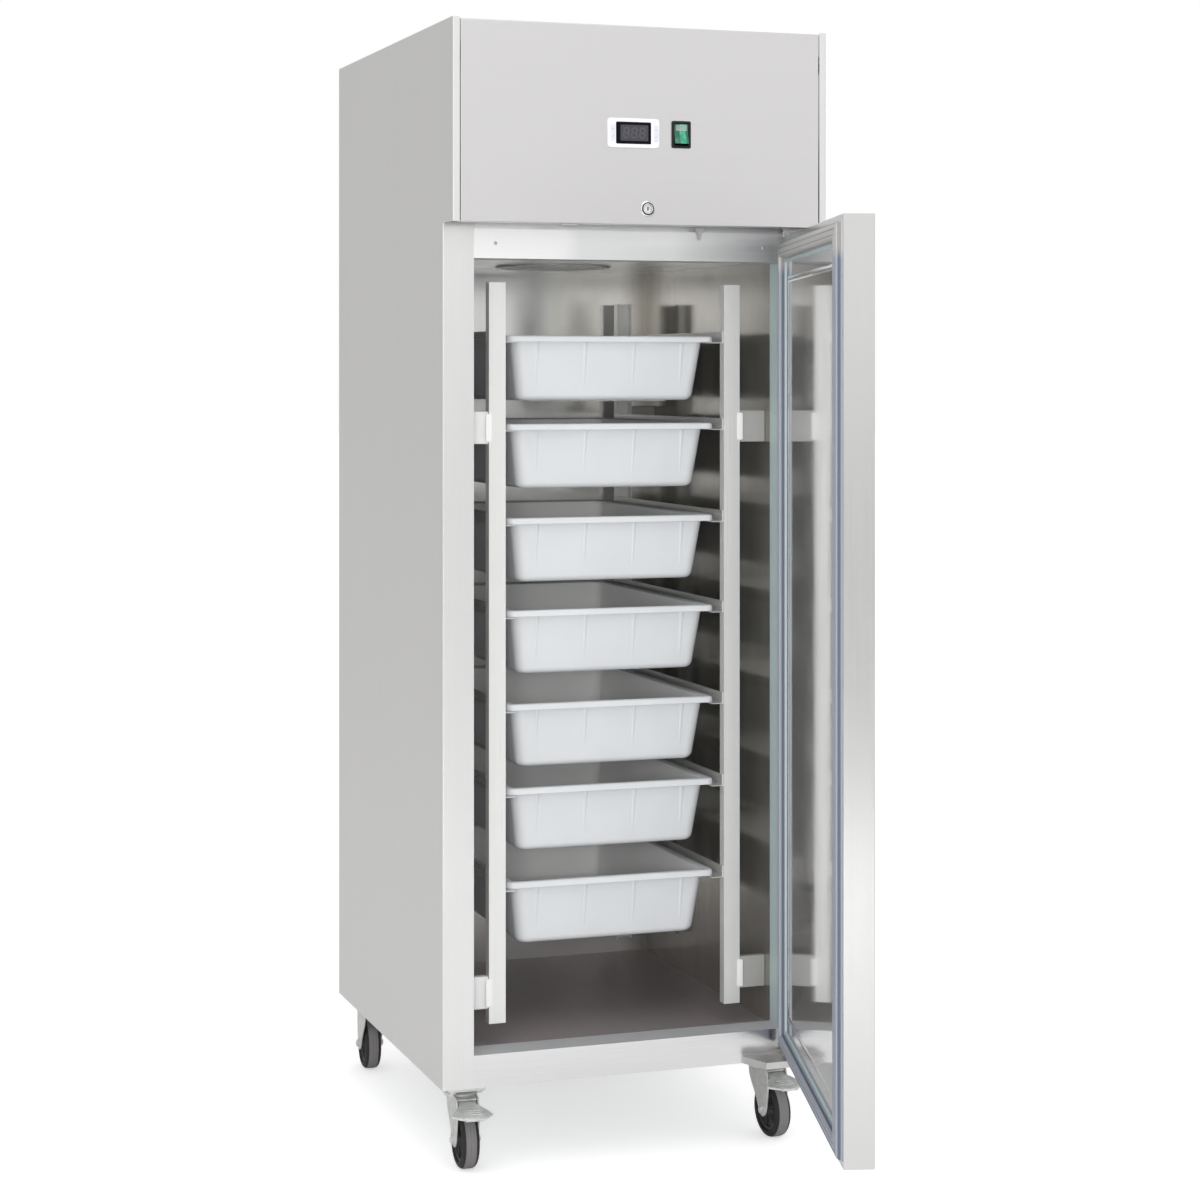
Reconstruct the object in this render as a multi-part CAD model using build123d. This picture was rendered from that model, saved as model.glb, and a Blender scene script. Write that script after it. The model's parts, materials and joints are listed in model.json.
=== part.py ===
from build123d import *
import os
from math import cos, radians, sqrt

# Upright fish refrigerator: an insulated stainless cabinet on four castors, with a cooling unit
# in the head, one door hinged on the right, and a rack of seven pull-out fish trays.
# Sizes are in millimetres. X runs to the right seen from the front, Y to the back, Z up.
# The pieces are drawn with X = 0 on the left side and Y = 0 on the front of the body.

# Cabinet
WIDTH = 700
DEPTH = 748
HEIGHT = 2010
BODY_BOTTOM = 152
STILE = 57
OPEN_BOTTOM = 209
OPEN_TOP = 1599
RAIL_TOP = 1651
HEAD_BOTTOM = 1659
HEAD_FRONT = -62
SHEET = 1.2
SHEET_BEND = 2.5
MIDDLE_X = WIDTH / 2

# Inside of the cabinet
JAMB_DEPTH = 60
JAMB_WALL = 5
LINER_SHEET = 1
LINER_FLOOR = 203
LINER_CEILING = 1605
LINER_BACK = 703
DECK = 1655
REVEAL = 12
STRUCTURE_TOP = 1700

# Head and its controls
HEAD_RETURN = 13
FASCIA_GAP = 1.5
FASCIA_RETURN = 30
FASCIA_TOP = 2007
CONTROL_Z = 1819
BEZEL_X = (281, 378)
BEZEL_HEIGHT = 52
BEZEL_PROUD = 4
WINDOW_X = (299, 364)
WINDOW_HEIGHT = 38
KEY_X = (290, 371)
KEY_SIZE = (8.4, 29.4)
KEY_TRAVEL = 0.8
SWITCH_X = 420
SWITCH_SIZE = (36, 48)
SWITCH_BODY = (31, 43)
SWITCH_WELL = (27, 39)
ROCKER_SIZE = (26, 35.6)
ROCKER_PIVOT_Y = -58
ROCKER_TILT = 8
TRUNNION_RADIUS = 1.6
TRUNNION_SPAN = 29
LOCK_X = 357
LOCK_Z = 1687
LOCK_FLANGE_RADIUS = 14
LOCK_PLUG_RADIUS = 7
CAM_LENGTH = 55
CAM_WIDTH = 12
CAM_Y = (-43, -40)

# Door, drawn closed and then swung open to the angle it stands at
DOOR_X = (2, 697)
DOOR_Y = (-62, -13)
DOOR_Z = (171, 1644)
DOOR_LIP = 4.5
DOOR_FLANGE = 12
GASKET_INSET = 10
GASKET_WIDTH = 30
GASKET_GAP = 0.3
GASKET_FLAT = (21, 27)
PIVOT_X = 666
PIVOT_Y = -52
PIN_RADIUS = 5
PIN_CLEARANCE = 0.05
BUSH_RADIUS = 8
BUSH_LENGTH = 18
HINGE_NOSE = 13
HINGE_ROOT = (562, 692)
HINGE_Z = (153, 165)
HINGE_FLAT = 4
DOOR_ANGLE = 74
PULL_X = (27, 89)
PULL_Z = (819, 1001)
PULL_DEPTH = 28

# Rack and trays
POST_X = (109, 140)
POST_DEPTH = 20
POST_WALL = 1.5
FRONT_POST_Y = 79
REAR_POST_Y = 670
POST_BOTTOM = 241
FRONT_POST_TOP = 1560
REAR_POST_TOP = 1540
BRACKET_Z = (267, 1272)
BRACKET_HEIGHT = 58
RUNNER_LEDGE = 21
RUNNER_LEG = 20
RUNNER_Y = (85, 665)
TRAY_TOPS = (485, 653, 804, 972, 1138, 1307, 1466)
TRAY_FRONT = 98
TRAY_RIM = (400, 600)
RIM_CORNER = 16
TUB_CORNER = 22
TRAY_MOUTH = (372, 572)
TRAY_FLOOR = (341, 541)
TRAY_HEIGHT = 111
TRAY_WALL = 2.5
SLIDE_GAP = 0.3
RIM_DROP = 11
RIM_THICK = 3

# Castors
CASTOR_X = 58
CASTOR_FRONT_Y = 84
CASTOR_REAR_Y = 703
CASTOR_TRAIL = 34
WHEEL_RADIUS = 50
WHEEL_WIDTH = 30
HUB_WIDTH = 35
PLATE_SIZE = (70, 90)
PLATE_BOTTOM = 135
RACE_BOTTOM = 129
CROWN_BOTTOM = 121
KINGPIN_BOTTOM = 115
FORK_GAP = 36
FORK_WALL = 3
AXLE_RADIUS = 5
PEDAL_PIVOT = (-40, 112)
FRONT_CASTOR_TURN = -3
REAR_CASTOR_TURN = 176

# Cooling unit in the head
FAN_CENTRE_Y = 440
CEILING_HOLE_RADIUS = 90
EVAPORATOR_X = (150, 550)
EVAPORATOR_Y = (320, 730)
EVAPORATOR_TOP = 1850
CONDENSER_X = (60, 380)
CONDENSER_Y = (40, 90)
CONDENSER_Z = (1664, 1964)
CONDENSER_FAN_RADIUS = 112
COMPRESSOR_X = 570
COMPRESSOR_Y = 210
COMPRESSOR_RADIUS = 80
PIPE_RADIUS = 4


def block(x, y, z):
    """A box between two values on each axis."""
    middle = [(low + high) / 2 for low, high in (x, y, z)]
    return Pos(*middle) * Box(x[1] - x[0], y[1] - y[0], z[1] - z[0])


def outline(*points):
    """A closed outline, always taken anticlockwise, so that it extrudes forwards."""
    following = points[1:] + points[:1]
    doubled_area = sum(a[0] * b[1] - b[0] * a[1] for a, b in zip(points, following))
    return Polygon(*(points if doubled_area > 0 else points[::-1]), align=None)


def plate_xz(sketch, front, back):
    """A sketch drawn in X and Z, as a plate between two values of Y."""
    return Pos(0, back, 0) * extrude(Plane.XZ * sketch, back - front)


def prism_x(sketch, left, right):
    """A sketch drawn in Y and Z, as a prism between two values of X."""
    return Pos(left, 0, 0) * extrude(Plane.YZ * sketch, right - left)


def prism_z(sketch, low, high):
    """A sketch drawn in X and Y, as a prism between two heights."""
    return Pos(0, 0, low) * extrude(sketch, high - low)


def rod(radius, start, end):
    """A round bar between two points on one axis."""
    start, end = Vector(*start), Vector(*end)
    along = end - start
    return extrude(Plane(start, z_dir=along) * Circle(radius), along.length)


def right_copy(part):
    """The same piece on the right-hand side of the cabinet."""
    return mirror(part, about=Plane.YZ.offset(MIDDLE_X))


def bent_sheet(points, bends):
    """A folded sheet's section in X and Y, with the outer and inner bend of each corner rounded."""
    section = outline(*points)
    for corner, radius in bends:
        near = section.vertices().sort_by_distance((*corner, 0))[0]
        section = fillet(near, radius)
    return section


def left_side_panel():
    """One folded sheet: the side, the front stile and the narrow return beside the fascia."""
    inner_bend = SHEET_BEND - SHEET
    lower = bent_sheet(
        [(0, 0), (STILE, 0), (STILE, SHEET), (SHEET, SHEET), (SHEET, DEPTH), (0, DEPTH)],
        [((0, 0), SHEET_BEND), ((SHEET, SHEET), inner_bend)],
    )
    front, back = HEAD_FRONT, HEAD_FRONT + SHEET
    upper = bent_sheet(
        [(0, front), (HEAD_RETURN, front), (HEAD_RETURN, back), (SHEET, back), (SHEET, DEPTH), (0, DEPTH)],
        [((0, front), SHEET_BEND), ((SHEET, back), inner_bend)],
    )
    return prism_z(lower, BODY_BOTTOM, STRUCTURE_TOP) + prism_z(upper, HEAD_BOTTOM, HEIGHT)


def back_panel():
    return block((SHEET, WIDTH - SHEET), (DEPTH - SHEET, DEPTH), (BODY_BOTTOM, DECK + SHEET))


def base_panel():
    return block(
        (SHEET, WIDTH - SHEET), (SHEET_BEND, DEPTH - SHEET), (BODY_BOTTOM, BODY_BOTTOM + SHEET)
    )


def top_rail():
    """The front rail over the door opening, folded back to a dark reveal under the head."""
    section = outline(
        (0, OPEN_TOP),
        (0, RAIL_TOP),
        (REVEAL - SHEET, RAIL_TOP),
        (REVEAL - SHEET, STRUCTURE_TOP),
        (REVEAL, STRUCTURE_TOP),
        (REVEAL, RAIL_TOP - SHEET),
        (SHEET, RAIL_TOP - SHEET),
        (SHEET, OPEN_TOP),
    )
    return prism_x(section, STILE, WIDTH - STILE)


def sill_rail():
    return block((STILE, WIDTH - STILE), (0, SHEET), (BODY_BOTTOM, OPEN_BOTTOM))


def breaker_frame():
    """The plastic strips that line the opening between the outer sheet and the liner."""
    depth = (SHEET, JAMB_DEPTH)
    left = block((STILE - JAMB_WALL, STILE), depth, (LINER_FLOOR - 2, LINER_CEILING + LINER_SHEET))
    across = (STILE, WIDTH - STILE)
    head = block(across, depth, (OPEN_TOP, LINER_CEILING + LINER_SHEET))
    sill = block(across, depth, (LINER_FLOOR - 2, OPEN_BOTTOM))
    return [left, right_copy(left), head, sill]


def liner_walls():
    height = (LINER_FLOOR, LINER_CEILING)
    left = block((STILE - LINER_SHEET, STILE), (JAMB_DEPTH, LINER_BACK), height)
    back = block(
        (STILE - LINER_SHEET, WIDTH - STILE + LINER_SHEET),
        (LINER_BACK, LINER_BACK + LINER_SHEET),
        height,
    )
    return [left, right_copy(left), back]


def ceiling_hole(low, high):
    """The round air way of the cooling fan, through whatever lies between two heights."""
    return rod(CEILING_HOLE_RADIUS, (MIDDLE_X, FAN_CENTRE_Y, low), (MIDDLE_X, FAN_CENTRE_Y, high))


def liner_plan():
    return (STILE - LINER_SHEET, WIDTH - STILE + LINER_SHEET), (JAMB_DEPTH, LINER_BACK + LINER_SHEET)


def liner_ceiling():
    height = (LINER_CEILING, LINER_CEILING + LINER_SHEET)
    return block(*liner_plan(), height) - ceiling_hole(*height)


def liner_floor():
    return block(*liner_plan(), (LINER_FLOOR - 2, LINER_FLOOR))


def foam_insulation():
    """Foam slabs between the outer sheets and the liner."""
    low, high = BODY_BOTTOM + SHEET, DECK
    inside, back = STILE - LINER_SHEET, LINER_BACK + LINER_SHEET
    strip = STILE - JAMB_WALL
    plan = outline(
        (SHEET, SHEET_BEND),
        (SHEET_BEND, SHEET),
        (strip, SHEET),
        (strip, JAMB_DEPTH),
        (inside, JAMB_DEPTH),
        (inside, back),
        (SHEET, back),
    )
    left = prism_z(plan, low, high)
    rear = block((SHEET, WIDTH - SHEET), (back, DEPTH - SHEET), (low, high))
    across = (inside, WIDTH - inside)
    floor = block(across, (SHEET, back), (low, LINER_FLOOR - 2))
    ceiling_height = (LINER_CEILING + LINER_SHEET, high)
    ceiling = block(across, (REVEAL, back), ceiling_height) - ceiling_hole(*ceiling_height)
    return [left, right_copy(left), rear, floor, ceiling]


def unit_deck():
    height = (DECK, DECK + SHEET)
    return block((SHEET, WIDTH - SHEET), (REVEAL, DEPTH - SHEET), height) - ceiling_hole(*height)


def rear_grille():
    """The back cover of the head, with two columns of air slots."""
    low = DECK + SHEET
    cover = block((SHEET, WIDTH - SHEET), (DEPTH - SHEET, DEPTH), (low, HEIGHT - 2))
    rows, pitch, slot = 11, 26, (250, 10)
    slots = Sketch() + [
        Pos(x, low + 46 + row * pitch) * SlotOverall(*slot)
        for x in (WIDTH * 0.27, WIDTH * 0.73)
        for row in range(rows)
    ]
    return cover - plate_xz(slots, DEPTH - 5, DEPTH + 5)


def fascia_panel():
    """The front of the head: a folded pan with cut-outs for the controls, held by four side tabs."""
    x = (HEAD_RETURN + FASCIA_GAP, WIDTH - HEAD_RETURN - FASCIA_GAP)
    y = (HEAD_FRONT, HEAD_FRONT + FASCIA_RETURN)
    z = (HEAD_BOTTOM, FASCIA_TOP)
    pan = block(x, y, z)
    pan = fillet(pan.faces().sort_by(Axis.Y)[0].edges(), 1.5)
    pan -= block(
        (x[0] + SHEET, x[1] - SHEET), (y[0] + SHEET, y[1] + 1), (z[0] + SHEET, z[1] - SHEET)
    )
    window = Pos(sum(WINDOW_X) / 2, CONTROL_Z) * Rectangle(75, 42)
    switch = Pos(SWITCH_X, CONTROL_Z) * Rectangle(32, 44)
    lock = Pos(LOCK_X, LOCK_Z) * Circle(10)
    pan -= plate_xz(window + switch + lock, y[0] - 5, y[0] + 5)
    pan -= block((LOCK_X - 9, LOCK_X + CAM_LENGTH - 2), (CAM_Y[0] - 3, CAM_Y[1] + 3), (z[0] - 1, z[0] + 2))
    for height in (HEAD_BOTTOM + 60, HEAD_BOTTOM + 280):
        tab = block((SHEET, x[0]), (y[1] - 18, y[1]), (height, height + 30))
        pan += [tab, right_copy(tab)]
    return pan


def controller_bezel():
    """The white frame of the temperature controller and the case behind it."""
    middle = sum(BEZEL_X) / 2
    front = HEAD_FRONT - BEZEL_PROUD
    frame = plate_xz(
        Pos(middle, CONTROL_Z) * RectangleRounded(BEZEL_X[1] - BEZEL_X[0], BEZEL_HEIGHT, 5),
        front,
        HEAD_FRONT,
    )
    frame = chamfer(frame.faces().sort_by(Axis.Y)[0].outer_wire().edges(), 1.2)
    openings = Pos(sum(WINDOW_X) / 2, CONTROL_Z) * Rectangle(WINDOW_X[1] - WINDOW_X[0], WINDOW_HEIGHT)
    for x in KEY_X:
        openings += Pos(x, CONTROL_Z) * Rectangle(KEY_SIZE[0] + 0.8, KEY_SIZE[1] + 0.8)
    frame -= plate_xz(openings, front - 1, HEAD_FRONT + 1)
    case = block((294, 368), (HEAD_FRONT, -5), (CONTROL_Z - 20.5, CONTROL_Z + 20.5))
    return frame + case


def display_window():
    front = HEAD_FRONT - BEZEL_PROUD + 1
    return block(
        WINDOW_X, (front, HEAD_FRONT), (CONTROL_Z - WINDOW_HEIGHT / 2, CONTROL_Z + WINDOW_HEIGHT / 2)
    )


def controller_key(x):
    back = HEAD_FRONT - 0.4 - KEY_TRAVEL
    key = plate_xz(Pos(x, CONTROL_Z) * RectangleRounded(*KEY_SIZE, 2), back - 3.6, back)
    return fillet(key.faces().sort_by(Axis.Y)[0].edges(), 0.6)


def trunnions(radius):
    """The round stubs on the rocker's axis, or the holes for them."""
    left, right = SWITCH_X - TRUNNION_SPAN / 2, SWITCH_X + TRUNNION_SPAN / 2
    return rod(radius, (left, ROCKER_PIVOT_Y, CONTROL_Z), (right, ROCKER_PIVOT_Y, CONTROL_Z))


def switch_bezel():
    """The frame and body of the rocker switch."""
    centre = Pos(SWITCH_X, CONTROL_Z)
    frame = plate_xz(centre * RectangleRounded(*SWITCH_SIZE, 3), HEAD_FRONT - 2.5, HEAD_FRONT)
    frame = chamfer(frame.faces().sort_by(Axis.Y)[0].edges(), 0.8)
    body = plate_xz(centre * Rectangle(*SWITCH_BODY), HEAD_FRONT, -35)
    well = plate_xz(centre * Rectangle(*SWITCH_WELL), HEAD_FRONT - 5, -45)
    return frame + body - well - trunnions(TRUNNION_RADIUS + PIN_CLEARANCE)


def switch_rocker():
    """A rocker with a hollow front, its upper end pressed in, on two trunnions."""
    half, nose, waist = ROCKER_SIZE[1] / 2, -8.5, -6
    section = outline(
        (nose, half), (waist, 0), (nose, -half), (4, -half + 2), (8, 0), (4, half - 2)
    )
    rocker = prism_x(section, -ROCKER_SIZE[0] / 2, ROCKER_SIZE[0] / 2)
    rocker = Pos(SWITCH_X, ROCKER_PIVOT_Y, CONTROL_Z) * Rot(-ROCKER_TILT, 0, 0) * rocker
    return rocker + trunnions(TRUNNION_RADIUS)


def lock_bezel():
    """The chromed lock housing: a flange in front of the fascia, a barrel and its nut behind."""
    def at(y):
        return (LOCK_X, y, LOCK_Z)

    flange = rod(LOCK_FLANGE_RADIUS, at(HEAD_FRONT), at(HEAD_FRONT - 3))
    flange = chamfer(flange.faces().sort_by(Axis.Y)[0].edges(), 1.5)
    barrel = rod(9.8, at(HEAD_FRONT), at(-45))
    nut = plate_xz(Pos(LOCK_X, LOCK_Z) * RegularPolygon(13, 6), HEAD_FRONT + SHEET, HEAD_FRONT + SHEET + 4)
    bore = rod(LOCK_PLUG_RADIUS + PIN_CLEARANCE, at(-40), at(HEAD_FRONT - 5))
    return flange + barrel + nut - bore


def lock_cylinder():
    """The keyed plug with its cam, which drops into the top of the closed door."""
    def at(y):
        return (LOCK_X, y, LOCK_Z)

    plug = rod(LOCK_PLUG_RADIUS, at(CAM_Y[0]), at(HEAD_FRONT - 3.5))
    keyway = block(
        (LOCK_X - 3.5, LOCK_X + 3.5), (HEAD_FRONT - 5, HEAD_FRONT + 3), (LOCK_Z - 0.8, LOCK_Z + 0.8)
    )
    cam_outline = Pos(LOCK_X + CAM_LENGTH / 2 - 3, LOCK_Z) * SlotOverall(CAM_LENGTH + 6, CAM_WIDTH)
    return plug - keyway + plate_xz(cam_outline, *CAM_Y)


def pin_hole():
    """A round hole for both hinge bushes, on the pivot line."""
    low, high = DOOR_Z
    def at(z):
        return (PIVOT_X, PIVOT_Y, z)

    return rod(BUSH_RADIUS, at(low - 5), at(low + BUSH_LENGTH)) + rod(
        BUSH_RADIUS, at(high - BUSH_LENGTH), at(high + 5)
    )


def cam_pocket():
    """The slot in the door's top edge that the lock's cam turns down into."""
    return block((LOCK_X - 12, LOCK_X + 40), (CAM_Y[0] - 4, CAM_Y[1] + 5), (DOOR_Z[1] - 14, DOOR_Z[1] + 5))


def pull_opening(y):
    return block(PULL_X, y, PULL_Z)


def door_outer_skin():
    """The outer sheet, folded a little way round the door's edges."""
    x, z = DOOR_X, DOOR_Z
    y = (DOOR_Y[0], DOOR_Y[0] + DOOR_LIP)
    pan = block(x, y, z)
    pan = fillet(pan.faces().sort_by(Axis.Y)[0].edges(), 1.8)
    pan -= block(
        (x[0] + SHEET, x[1] - SHEET), (y[0] + SHEET, y[1] + 1), (z[0] + SHEET, z[1] - SHEET)
    )
    return pan - pull_opening((y[0] - 2, y[0] + 2)) - pin_hole()


def door_edge_frame():
    """Four folded strips that make the door's edges and a flange round its inner face."""
    y = (DOOR_Y[0] + DOOR_LIP, DOOR_Y[1])
    flange = (DOOR_Y[1] - SHEET, DOOR_Y[1])
    x, z = DOOR_X, DOOR_Z
    left = block((x[0], x[0] + SHEET), y, z) + block((x[0], x[0] + DOOR_FLANGE), flange, z)
    right = block((x[1] - SHEET, x[1]), y, z) + block((x[1] - DOOR_FLANGE, x[1]), flange, z)
    between = (x[0] + SHEET, x[1] - SHEET)
    between_flanges = (x[0] + DOOR_FLANGE, x[1] - DOOR_FLANGE)
    bottom = block(between, (y[0], flange[0]), (z[0], z[0] + SHEET)) + block(
        between_flanges, flange, (z[0], z[0] + DOOR_FLANGE)
    )
    top = block(between, (y[0], flange[0]), (z[1] - SHEET, z[1])) + block(
        between_flanges, flange, (z[1] - DOOR_FLANGE, z[1])
    )
    return [left, right, bottom - pin_hole(), top - pin_hole() - cam_pocket()]


def door_inner_skin():
    return block(
        (DOOR_X[0] + DOOR_FLANGE, DOOR_X[1] - DOOR_FLANGE),
        (DOOR_Y[1] - SHEET, DOOR_Y[1]),
        (DOOR_Z[0] + DOOR_FLANGE, DOOR_Z[1] - DOOR_FLANGE),
    )


def door_foam():
    """The foam core, in blocks round the recessed pull."""
    x = (DOOR_X[0] + SHEET, DOOR_X[1] - SHEET)
    y = (DOOR_Y[0] + SHEET, DOOR_Y[1] - SHEET)
    z = (DOOR_Z[0] + SHEET, DOOR_Z[1] - SHEET)
    lower = block(x, y, (z[0], PULL_Z[0])) - pin_hole()
    upper = block(x, y, (PULL_Z[1], z[1])) - pin_hole() - cam_pocket()
    free_side = block((x[0], PULL_X[0]), y, PULL_Z)
    hinge_side = block((PULL_X[1], x[1]), y, PULL_Z)
    behind = block(PULL_X, (DOOR_Y[0] + PULL_DEPTH, y[1]), PULL_Z)
    return [lower, upper, free_side, hinge_side, behind]


def seal_crown(across):
    """The height of the seal's rounded lip, which turns about the hinge pin just clear of the stile."""
    sweep = -PIVOT_Y - GASKET_GAP
    from_pin = DOOR_X[1] - GASKET_INSET - PIVOT_X - across
    return sqrt(sweep**2 - max(from_pin, 0) ** 2) + PIVOT_Y - DOOR_Y[1]


def door_gasket():
    """Four lengths of bellows seal with a rounded outer lip and mitred corners."""
    w = GASKET_WIDTH
    lip = [(across, seal_crown(across)) for across in (GASKET_FLAT[1], GASKET_FLAT[0], 15, 9, 4)]
    section = [
        (0, 0), (w, 0), (w, 3), (w - 5, 3), (w - 8, 5.5), (w - 3, 8), *lip, (4, 7.5), (8, 5.5), (5, 3), (0, 3)
    ]
    x0, x1 = DOOR_X[0] + GASKET_INSET, DOOR_X[1] - GASKET_INSET
    z0, z1 = DOOR_Z[0] + GASKET_INSET, DOOR_Z[1] - GASKET_INSET

    y0 = DOOR_Y[1]
    upright = prism_z(outline(*[(x0 + across, y0 + out) for across, out in section]), z0, z1)
    upright &= plate_xz(outline((x0, z0), (x0 + w, z0 + w), (x0 + w, z1 - w), (x0, z1)), y0 - 1, 0)
    lying = prism_x(outline(*[(y0 + out, z0 + across) for across, out in section]), x0, x1)
    lying &= plate_xz(outline((x0, z0), (x0 + w, z0 + w), (x1 - w, z0 + w), (x1, z0)), y0 - 1, 0)
    middle_x, middle_z = (x0 + x1) / 2, (z0 + z1) / 2
    return [
        upright,
        mirror(upright, about=Plane.YZ.offset(middle_x)),
        lying,
        mirror(lying, about=Plane.XY.offset(middle_z)),
    ]


def door_handle():
    """A recessed pull: a flanged cup with a grip lip over its inner side."""
    flange_front = DOOR_Y[0] - 1.5
    wide = (PULL_X[0] - 4, PULL_X[1] + 4)
    tall = (PULL_Z[0] - 4, PULL_Z[1] + 4)
    middle = sum(PULL_X) / 2, sum(PULL_Z) / 2
    flange = plate_xz(
        Pos(*middle) * RectangleRounded(wide[1] - wide[0], tall[1] - tall[0], 6), flange_front, DOOR_Y[0]
    )
    cup = block(PULL_X, (DOOR_Y[0], DOOR_Y[0] + PULL_DEPTH), PULL_Z)
    hollow = block(
        (PULL_X[0] + 1.5, PULL_X[1] - 1.5),
        (flange_front - 1, DOOR_Y[0] + PULL_DEPTH - 1.5),
        (PULL_Z[0] + 1.5, PULL_Z[1] - 1.5),
    )
    hollow = fillet(hollow.edges().filter_by(Axis.Y), 5)
    lip = block(
        (PULL_X[1] - 16, PULL_X[1] - 1), (flange_front, DOOR_Y[0] + 2), (PULL_Z[0] + 1, PULL_Z[1] - 1)
    )
    lip = fillet(lip.edges().filter_by(Axis.Z).sort_by(Axis.X)[:2], 1.2)
    return flange + cup - hollow + lip


def door_bushes():
    """Plastic bushes that the hinge pins turn in."""
    bushes = []
    for z, inward in ((DOOR_Z[0], 1), (DOOR_Z[1], -1)):
        at = lambda rise: (PIVOT_X, PIVOT_Y, z + inward * rise)
        bush = rod(BUSH_RADIUS, at(0), at(BUSH_LENGTH)) + rod(BUSH_RADIUS + 3, at(-1.5), at(0))
        bushes.append(bush - rod(PIN_RADIUS + PIN_CLEARANCE, at(-3), at(BUSH_LENGTH + 3)))
    return bushes


def pin_at(z):
    return (PIVOT_X, PIVOT_Y, z)


def lower_hinge_plate():
    """A broad pressed plate under the door, with a lip turned down along its free edges."""
    left, right = HINGE_ROOT
    front = PIVOT_Y - 5
    web = outline((left, -4), (right, -4), (PIVOT_X + 12, front), (left + 24, front))
    nose = Pos(PIVOT_X, PIVOT_Y) * Circle(HINGE_NOSE)
    inside = outline(
        (left + 5, -3), (right - 5, -3), (PIVOT_X + 10, front + 4), (left + 27, front + 4)
    )
    low, high = HINGE_Z
    shell = prism_z(web, low, high) - prism_z(inside, low - 1, high - HINGE_FLAT)
    return shell + prism_z(nose, high - HINGE_FLAT, high)


def upper_hinge_plate(z0, z1):
    """The narrower arm over the door, hidden by the head."""
    arm = Pos(PIVOT_X, PIVOT_Y / 2) * Rectangle(2 * HINGE_NOSE, -PIVOT_Y)
    nose = Pos(PIVOT_X, PIVOT_Y) * Circle(HINGE_NOSE)
    return prism_z(nose + arm, z0, z1)


def hinge_brackets():
    """An angle under the door and an angle over it, each with a fixed pin."""
    pin_in = BUSH_LENGTH - 3
    low, high = HINGE_Z
    lower = lower_hinge_plate() + rod(PIN_RADIUS, pin_at(high - 2), pin_at(DOOR_Z[0] + pin_in))
    lower += block(HINGE_ROOT, (-4, 0), (low, 169.5))
    for x in (584, 622, 685):
        lower += rod(3.5, (x, -4, 157), (x, -6, 157))
    upper = upper_hinge_plate(1648, 1653) + rod(PIN_RADIUS, pin_at(1650), pin_at(DOOR_Z[1] - pin_in))
    upper += block((644, 688), (-4, 0), (1648, 1696))
    return [lower, upper]


def channel(front, back, top):
    """An upright channel of the rack, open towards the middle of the cabinet."""
    x0, x1 = POST_X
    web = (front, front + POST_WALL) if front < back else (front - POST_WALL, front)
    reach = (min(front, back), max(front, back))
    height = (POST_BOTTOM, top)
    return (
        block(POST_X, web, height)
        + block((x0, x0 + POST_WALL), reach, height)
        + block((x1 - POST_WALL, x1), reach, height)
    )


def rack_posts():
    front = channel(FRONT_POST_Y, FRONT_POST_Y + POST_DEPTH, FRONT_POST_TOP)
    rear = channel(REAR_POST_Y, REAR_POST_Y - POST_DEPTH, REAR_POST_TOP)
    return [front, right_copy(front), rear, right_copy(rear)]


def post_brackets():
    """Blocks that stand the four posts off the side walls, two to a post."""
    brackets = []
    for z in BRACKET_Z:
        for y in (FRONT_POST_Y + 4, REAR_POST_Y - 18):
            stand_off = block((STILE, POST_X[0]), (y, y + 14), (z, z + BRACKET_HEIGHT))
            stand_off = fillet(stand_off.edges().filter_by(Axis.X), 2)
            brackets += [stand_off, right_copy(stand_off)]
    return brackets


def ledge_height(tray_top):
    """The top of the runner that a tray's rim slides on."""
    return tray_top - RIM_DROP - SLIDE_GAP


def tray_runners():
    """Seven pairs of angles between the front and rear posts."""
    runners = []
    x = POST_X[1]
    for tray_top in TRAY_TOPS:
        z = ledge_height(tray_top)
        section = outline(
            (x, z - POST_WALL),
            (x + RUNNER_LEDGE, z - POST_WALL),
            (x + RUNNER_LEDGE, z),
            (x + POST_WALL, z),
            (x + POST_WALL, z + RUNNER_LEG),
            (x, z + RUNNER_LEG),
        )
        runner = plate_xz(section, *RUNNER_Y)
        runners += [runner, right_copy(runner)]
    return runners


def rounded_block(size, radius, z0, z1):
    return prism_z(RectangleRounded(*size, radius), z0, z1)


def tapered_tub(bottom, top, corner, z0, z1):
    """A tub form that widens from its floor to its mouth, with rounded corners."""
    low = Pos(0, 0, z0) * RectangleRounded(*bottom, corner)
    high = Pos(0, 0, z1) * RectangleRounded(*top, corner + 5)
    return loft([low, high])


def fish_tray(tray_top):
    """A moulded tray: tapered walls, a rounded floor and a turned-down rim."""
    floor = -TRAY_HEIGHT
    outer = tapered_tub(TRAY_FLOOR, TRAY_MOUTH, TUB_CORNER, floor, 0)
    outer = fillet(outer.faces().sort_by(Axis.Z)[0].edges(), 9)
    thin = 2 * TRAY_WALL
    inner_floor = [side - thin for side in TRAY_FLOOR]
    inner_mouth = [side - thin for side in TRAY_MOUTH]
    inner = tapered_tub(inner_floor, inner_mouth, TUB_CORNER - TRAY_WALL, floor + 3, 0)
    inner = fillet(inner.faces().sort_by(Axis.Z)[0].edges(), 7)
    rim = rounded_block(TRAY_RIM, RIM_CORNER, -RIM_DROP, 0)
    rim = fillet(rim.faces().sort_by(Axis.Z)[-1].edges(), 2)
    skirt_inside = [side - thin for side in TRAY_RIM]
    rim -= rounded_block(skirt_inside, RIM_CORNER - TRAY_WALL, -RIM_DROP - 1, -RIM_THICK)
    rim -= rounded_block(inner_mouth, TUB_CORNER - TRAY_WALL, -RIM_DROP, 1)
    middle = Pos(MIDDLE_X, TRAY_FRONT + TRAY_RIM[1] / 2, tray_top)
    return middle * (outer - inner + rim)


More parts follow.
